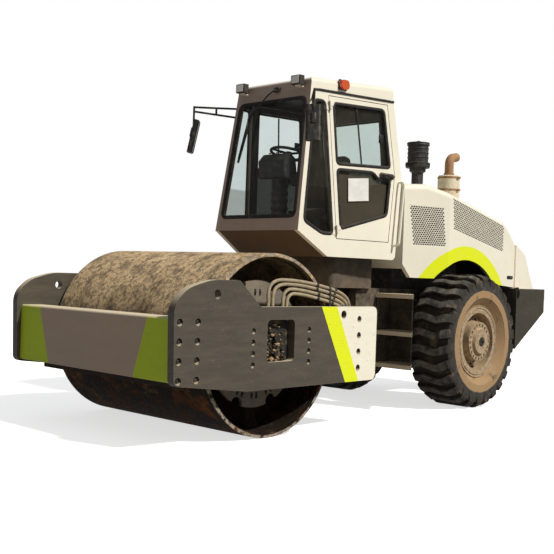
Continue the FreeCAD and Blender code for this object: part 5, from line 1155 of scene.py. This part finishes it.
# Screens, keys, knobs and stalks of the console, and the lever on its box beside the seat
controlSet = {
    "face": (0.752, 0.0, 2.53),
    "lean": 8.0,
    "apart": (-0.115, 0.115),
    "screen": (0.020, (0.042, 0.034, 0.006)),
    "keys": (-0.045, (0.045, 0.014, 0.008)),
    "ease": 0.004,
    "knobPlaces": ((0.86, -0.10, 2.655), (0.86, -0.05, 2.655), (0.86, 0.0, 2.655), (0.86, 0.05, 2.655),
                   (0.86, 0.10, 2.655)),
    "knob": ((0, 0.011), (0.010, 0.011), (0.013, 0.0077)),
    "stalk": ((0.70, 0.03, 2.60), (0.68, 0.12, 2.615), (0.665, 0.165, 2.625)),
    "stalkHalf": 0.006,
    "stalkKnob": ((0, 0.009), (0.018, 0.011), (0.036, 0.009)),
    "lever": ((0.33, -0.33, 2.02), (0.35, -0.33, 2.20), (0.37, -0.33, 2.32)),
    "leverHalf": 0.010,
    "leverHead": (0.37, -0.33, 2.31),
    "leverKnob": ((0, 0.016), (0.03, 0.026), (0.07, 0.026), (0.09, 0.014)),
    "box": ((0.24, -0.33, 2.00), level, (0.22, 0.060, 0.040), 0.020, 3),
}


def makeControls(values):
    mesh, pale = bmesh.new(), bmesh.new()
    lean = math.radians(values["lean"])
    ways = (upY, Vector((math.sin(lean), 0, math.cos(lean))), Vector((-math.cos(lean), 0, math.sin(lean))))
    for y in values["apart"]:
        for target, key in ((pale, "screen"), (mesh, "keys")):
            rise, halves = values[key]
            addBlock(target, Vector(values["face"]) + upY * y + ways[1] * rise, ways, halves, values["ease"])
    for place in values["knobPlaces"]:
        addDisc(mesh, place, upZ, values["knob"], 14)
    for _, side in sides:
        stalk = [mirrored(place, side) for place in values["stalk"]]
        addTube(mesh, stalk, values["stalkHalf"])
        addDisc(mesh, stalk[-1], stalk[-1] - stalk[-2], values["stalkKnob"])
    addTube(mesh, values["lever"], values["leverHalf"])
    addDisc(mesh, values["leverHead"], upZ, values["leverKnob"], 16)
    addBlock(mesh, *values["box"])
    finishPiece(mesh, "console_controls", "plastic", "rear_frame")
    finishPiece(pale, "console_screens", "iron", "rear_frame")


makeControls(controlSet)
print("cab inside ready")

# Slots and bolts on the drum's carriers
carrierSet = {
    "face": 0.858,
    "circle": 0.455,
    "count": 16,
    "apart": (-0.030, 0.030),
    "slot": (0.030, 0.011, 0.004),
    "ease": 0.004,
    "bolt": 0.008,
    "hub": 0.130,
    "hubCount": 12,
    "hubBolt": 0.013,
}


def makeCarrierBolts(values):
    mesh = bmesh.new()
    for _, side in sides:
        axis, middle = upY * side, Vector((drumX, values["face"] * side, drumR))
        for angle in turns(values["count"]):
            outward = around((0, 0, 0), angle, 1)
            along = outward.cross(axis)
            for shift in values["apart"]:
                place = middle + outward * values["circle"] + along * shift
                addBlock(mesh, place, (outward, along, axis), values["slot"], values["ease"])
                addBolt(mesh, place + axis * values["slot"][2], axis, values["bolt"])
        for angle in turns(values["hubCount"]):
            addBolt(mesh, around(middle, angle, values["hub"]), axis, values["hubBolt"])
    finishPiece(mesh, "carrier_bolts", "darkBolt", "drum")


# Clods caked in the side plates' windows
clodSet = {
    "seed": 23,
    "count": 90,
    "x": (1.850, 2.098),
    "y": 1.096,
    "deep": (0.0, 0.05),
    "z": 0.683,
    "high": 0.30,
    "sparser": 1.8,
    "paleShare": 0.45,
    "size": (0.008, 0.024),
    "stretch": ((0.7, 1.3), (0.7, 1.3), (0.7, 1.2)),
    "flat": 0.6,
}


def makeWindowMud(values):
    pale, dark = bmesh.new(), bmesh.new()
    chance = random.Random(values["seed"])
    for side in [side for _, side in sides for _ in range(values["count"])]:
        x, lift = chance.uniform(*values["x"]), chance.random() ** values["sparser"]
        y = (values["y"] + chance.uniform(*values["deep"]) * (1 - lift)) * side
        mesh = pale if chance.random() < values["paleShare"] else dark
        size = chance.uniform(*values["size"])
        for vert in bmesh.ops.create_icosphere(mesh, subdivisions=1, radius=size)["verts"]:
            vert.co = [part * chance.uniform(*limits) for part, limits in zip(vert.co, values["stretch"])]
            vert.co.z *= values["flat"]
            vert.co += Vector((x, y, values["z"] + lift * values["high"]))
    finishPiece(pale, "window_clay", "clay", "front_frame", 80.0)
    finishPiece(dark, "window_mud", "mud", "front_frame", 80.0)


# Hoses: runs are (ahead, up) of the drum's axis in millimetres; rings are (along, radius)
hoseSet = {
    "runs": (((77, 250), (90, 574), (-350, 566), (-960, 466), (-1048, 282)),
             ((22, 250), (32, 534), (-350, 531), (-935, 428), (-1012, 282)),
             ((-103, 230), (-98, 500), (-400, 480), (-905, 390), (-974, 282)),
             ((-154, 205), (-148, 458), (-400, 442), (-880, 352), (-934, 282))),
    "side": 1.071,
    "sweep": (0.5, 0.015, 12, 14),
    "nutFrom": 0.012,
    "nut": ((0, 0.019), (0.026, 0.019)),
    "cuffFrom": 0.038,
    "cuff": ((0, 0.017), (0.050, 0.0165), (0.056, 0.0155)),
    "sleeves": (0.30, 0.72),
    "sleeve": ((0, 0.0158), (0.002, 0.0168), (0.030, 0.0168), (0.032, 0.0158)),
}


def makeHoses(values):
    fittings, sleeves, runs = bmesh.new(), bmesh.new(), bmesh.new()
    for run in values["runs"]:
        points = [Vector((drumX + ahead / 1000, values["side"], drumR + rise / 1000)) for ahead, rise in run]
        addRod(runs, points, *values["sweep"])
        for end, inner in (points[:2], points[:-3:-1]):
            way = (inner - end).normalized()
            addDisc(fittings, end + way * values["nutFrom"], way, values["nut"], 6)
            addDisc(fittings, end + way * values["cuffFrom"], way, values["cuff"], 14)
        for share in values["sleeves"]:
            addDisc(sleeves, points[2].lerp(points[3], share), points[3] - points[2], values["sleeve"], 14)
    piece = finishPiece(runs, "hose_runs", "hose", "front_frame", 60.0)
    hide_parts("drum_hoses")
    finishPiece(fittings, "hose_fittings", "bolt", "front_frame")
    finishPiece(sleeves, "hose_sleeves", "gasket", "front_frame")


makeCarrierBolts(carrierSet)
makeWindowMud(clodSet)
makeHoses(hoseSet)

# Studs on the steps' treads; tops are (z, inner edge), margins are front, rear, inner and outer
stepSet = {
    "tops": ((1.250, 0.458), (0.850, 0.470), (0.500, 0.470)),
    "front": -0.295,
    "deep": 0.265,
    "out": 0.950,
    "cut": 0.190,
    "margins": (0.020, 0.015, 0.014, 0.022),
    "pitch": (0.0288, 0.036),
    "stud": ((0, 0.009), (0.004, 0.0065)),
}


def makeTreads(values):
    mesh = bmesh.new()
    front, deep, (rowPitch, pitch) = values["front"], values["deep"], values["pitch"]
    fore, rear, inside, outside = values["margins"]
    for (_, side), (top, inner) in itertools.product(sides, values["tops"]):
        x, row = front - fore, 0
        while x > front - deep + rear:
            limit = values["out"] - values["cut"] * (front - x) / deep - outside
            y = inner + inside + (pitch / 2 if row % 2 else 0.0)
            while y < limit:
                addDisc(mesh, (x, y * side, top), upZ, values["stud"], 8)
                y += pitch
            x -= rowPitch
            row += 1
    finishPiece(mesh, "step_treads", "step", "rear_frame", 50.0)


hoodSet = {
    "latch": (-2.400, 1.475),
    "plate": (-0.001, (0.066, 0.020, 0.007), 0.007, 3),
    "grip": (-0.011, (0.044, 0.009, 0.008), 0.005, 2),
    "hook": ((-2.470, 0.900, 1.335), (-2.470, 0.955, 1.352), (-2.470, 0.968, 1.300), (-2.470, 0.955, 1.230)),
    "hookHalf": (0.03, 0.014),
    "seam": ((-0.95, -0.60, 2.459), (-0.95, 0.60, 2.459)),
    "seamHalf": (0.0026, 6),
}


def makeHoodFittings(values):
    dark, seam = bmesh.new(), bmesh.new()
    for _, side in sides:
        for depth, halves, ease, segments in (values["plate"], values["grip"]):
            addBlock(dark, onHood(*values["latch"], depth, side), (upX, upZ, upY * side), halves, ease, segments)
        addRod(dark, [mirrored(place, side) for place in values["hook"]], *values["hookHalf"])
    addTube(seam, values["seam"], *values["seamHalf"])
    finishPiece(dark, "hood_latches", "black", "hood")
    finishPiece(seam, "hood_seams", "gasket", "hood", 60.0)


# Bands and cap of the air cleaner, clamps of the exhaust; bands are (z, radius)
stackSet = {
    "cleaner": (-1.060, 0.400, 0.0),
    "bands": ((2.700, 0.1365), (2.735, 0.1365), (2.800, 0.119), (2.850, 0.119), (2.900, 0.119), (2.965, 0.126)),
    "band": ((0, 0.0), (0.003, 0.004), (0.009, 0.004), (0.012, 0.0)),
    "ribs": (28, 2.7225, 0.136),
    "rib": (0.004, 0.004, 0.010),
    "cap": (2.980, ((0, 0.030), (0.012, 0.030), (0.020, 0.016)), 16),
    "muffler": (-1.710, 0.400, 0.0),
    "clamps": (2.480, 2.625),
    "clamp": ((0, 0.1305), (0.002, 0.1335), (0.022, 0.1335), (0.024, 0.1305)),
    "lug": (0.0, 0.145, 0.012),
    "lugHalf": (0.020, 0.012, 0.010),
    "lugEase": 0.003,
    "lugBolt": (0.020, 0.147, 0.012),
    "bolt": 0.008,
    "collar": (2.668, ((0, 0.060), (0.003, 0.063), (0.024, 0.063), (0.027, 0.058)), 24),
}


def makeStackFittings(values):
    black, rusty = bmesh.new(), bmesh.new()
    cleaner, muffler = Vector(values["cleaner"]), Vector(values["muffler"])
    for z, radius in values["bands"]:
        addDisc(black, cleaner + upZ * z, upZ, [(along, radius + more) for along, more in values["band"]], 32)
    count, z, radius = values["ribs"]
    for angle in turns(count):
        way = around((0, 0, 0), angle, 1, upX, upY)
        addBlock(black, cleaner + upZ * z + way * radius, (way, way.cross(upZ), upZ), values["rib"])
    for mesh, middle, key in ((black, cleaner, "cap"), (rusty, muffler, "collar")):
        z, rings, count = values[key]
        addDisc(mesh, middle + upZ * z, upZ, rings, count)
    for foot in (muffler + upZ * z for z in values["clamps"]):
        addDisc(rusty, foot, upZ, values["clamp"], 32)
        addBlock(rusty, foot + Vector(values["lug"]), level, values["lugHalf"], values["lugEase"])
        addBolt(rusty, foot + Vector(values["lugBolt"]), upX, values["bolt"])
    finishPiece(black, "cleaner_bands", "plastic", "hood")
    finishPiece(rusty, "exhaust_bands", "pipe", "hood")


makeTreads(stepSet)
makeHoodFittings(hoodSet)
makeStackFittings(stackSet)

# Bolts, hub cap, valve and rings of the wheels, placed from their axis
wheelSet = {
    "bolts": (24, 0.276, 0.950, 0.012),
    "cap": (1.130, ((0, 0.052), (0.010, 0.050), (0.014, 0.030)), 20),
    "capBolt": (1.142, 0.016),
    "valve": ((0.0, 0.955, -0.300), (0.0, 0.995, -0.304), (0.0, 1.030, -0.288)),
    "thin": 0.006,
    "rings": ((0.399, 1.081), (0.372, 1.083)),
    "ringCount": 72,
}


def makeWheelFittings(values):
    middle = Vector((axleX, 0, wheelZ))
    count, circle, face, bolt = values["bolts"]
    for name, side in sides:
        mesh, rings = bmesh.new(), bmesh.new()
        axis = upY * side
        for angle in turns(count):
            addBolt(mesh, around(middle + axis * face, angle, circle), axis, bolt)
        out, steps, sections = values["cap"]
        addDisc(mesh, middle + axis * out, axis, steps, sections)
        out, radius = values["capBolt"]
        addBolt(mesh, middle + axis * out, axis, radius)
        addTube(mesh, [middle + mirrored(place, side) for place in values["valve"]], values["thin"])
        finishPiece(mesh, f"{name}_wheel_bolts", "darkBolt", f"{name}_wheel")
        for radius, out in values["rings"]:
            path = [around(middle + axis * out, angle, radius) for angle in turns(values["ringCount"])]
            addTube(rings, path, values["thin"], 6, True)
        finishPiece(rings, f"{name}_rim_rings", "rim", f"{name}_wheel", 60.0)


makeWheelFittings(wheelSet)
print("running gear dressed")

# Floor, backdrop and sun
studioSet = {
    "floorHalf": 60.0,
    "floorColor": (0.86, 0.86, 0.86),
    "floorLift": 0.66,
    "groundColor": (0.30, 0.28, 0.26),
    "mirrorGlow": 0.45,
    "white": (1, 1, 1),
    "worldColor": (0.96, 0.98, 1.0),
    "worldStrength": 0.25,
    "sunWay": (-0.20, 0.72, 0.78),
    "sunStrength": 3.5,
    "sunColor": (1.0, 0.95, 0.86),
    "sunAngle": 4.0,
}


def makeStudio(values):
    mesh = bpy.data.meshes.new("studioFloor")
    mesh.from_pydata([(x * values["floorHalf"], y * values["floorHalf"], 0) for x, y in square], [], [(0, 1, 2, 3)])
    floor = addObject("studioFloor", mesh)
    material, tree = newMaterial("studioFloor")

    def mix(amount, first, second):
        return put(tree, "MixShader", {0: amount, 1: first.outputs[0], 2: second.outputs[0]})
    # White to the camera, a dim ground to what it lights, and a soft glow where it is mirrored
    rays = put(tree, "LightPath").outputs
    matt, ground = (put(tree, "BsdfDiffuse", {"Color": values[key]}) for key in ("floorColor", "groundColor"))
    lift, glow = (put(tree, "Emission", {"Color": values["white"], "Strength": values[key]})
                  for key in ("floorLift", "mirrorGlow"))
    lifted = put(tree, "AddShader", {0: matt.outputs[0], 1: lift.outputs[0]})
    bright = calc(tree, "MAXIMUM", rays["Is Glossy Ray"], rays["Is Transmission Ray"])
    both = mix(bright, mix(rays["Is Camera Ray"], ground, lifted), glow)
    put(tree, "OutputMaterial", {"Surface": both.outputs[0]})
    mesh.materials.append(material)
    world = bpy.context.scene.world = bpy.data.worlds.new("studioWorld")
    world.use_nodes = True
    tree = world.node_tree
    tree.nodes.clear()
    rays = put(tree, "LightPath").outputs
    soft = put(tree, "Background", {"Color": values["worldColor"], "Strength": values["worldStrength"]})
    white = put(tree, "Background", {"Color": values["white"], "Strength": 1.0})
    plain = calc(tree, "MAXIMUM", rays["Is Camera Ray"], rays["Is Transmission Ray"])
    put(tree, "OutputWorld", {"Surface": mix(plain, soft, white).outputs[0]})
    sun = bpy.data.lights.new("keySun", "SUN")
    sun.energy, sun.color, sun.angle = values["sunStrength"], values["sunColor"], math.radians(values["sunAngle"])
    addObject("keySun", sun).rotation_euler = Vector(values["sunWay"]).to_track_quat("Z", "Y").to_euler()


makeStudio(studioSet)
print("studio ready")
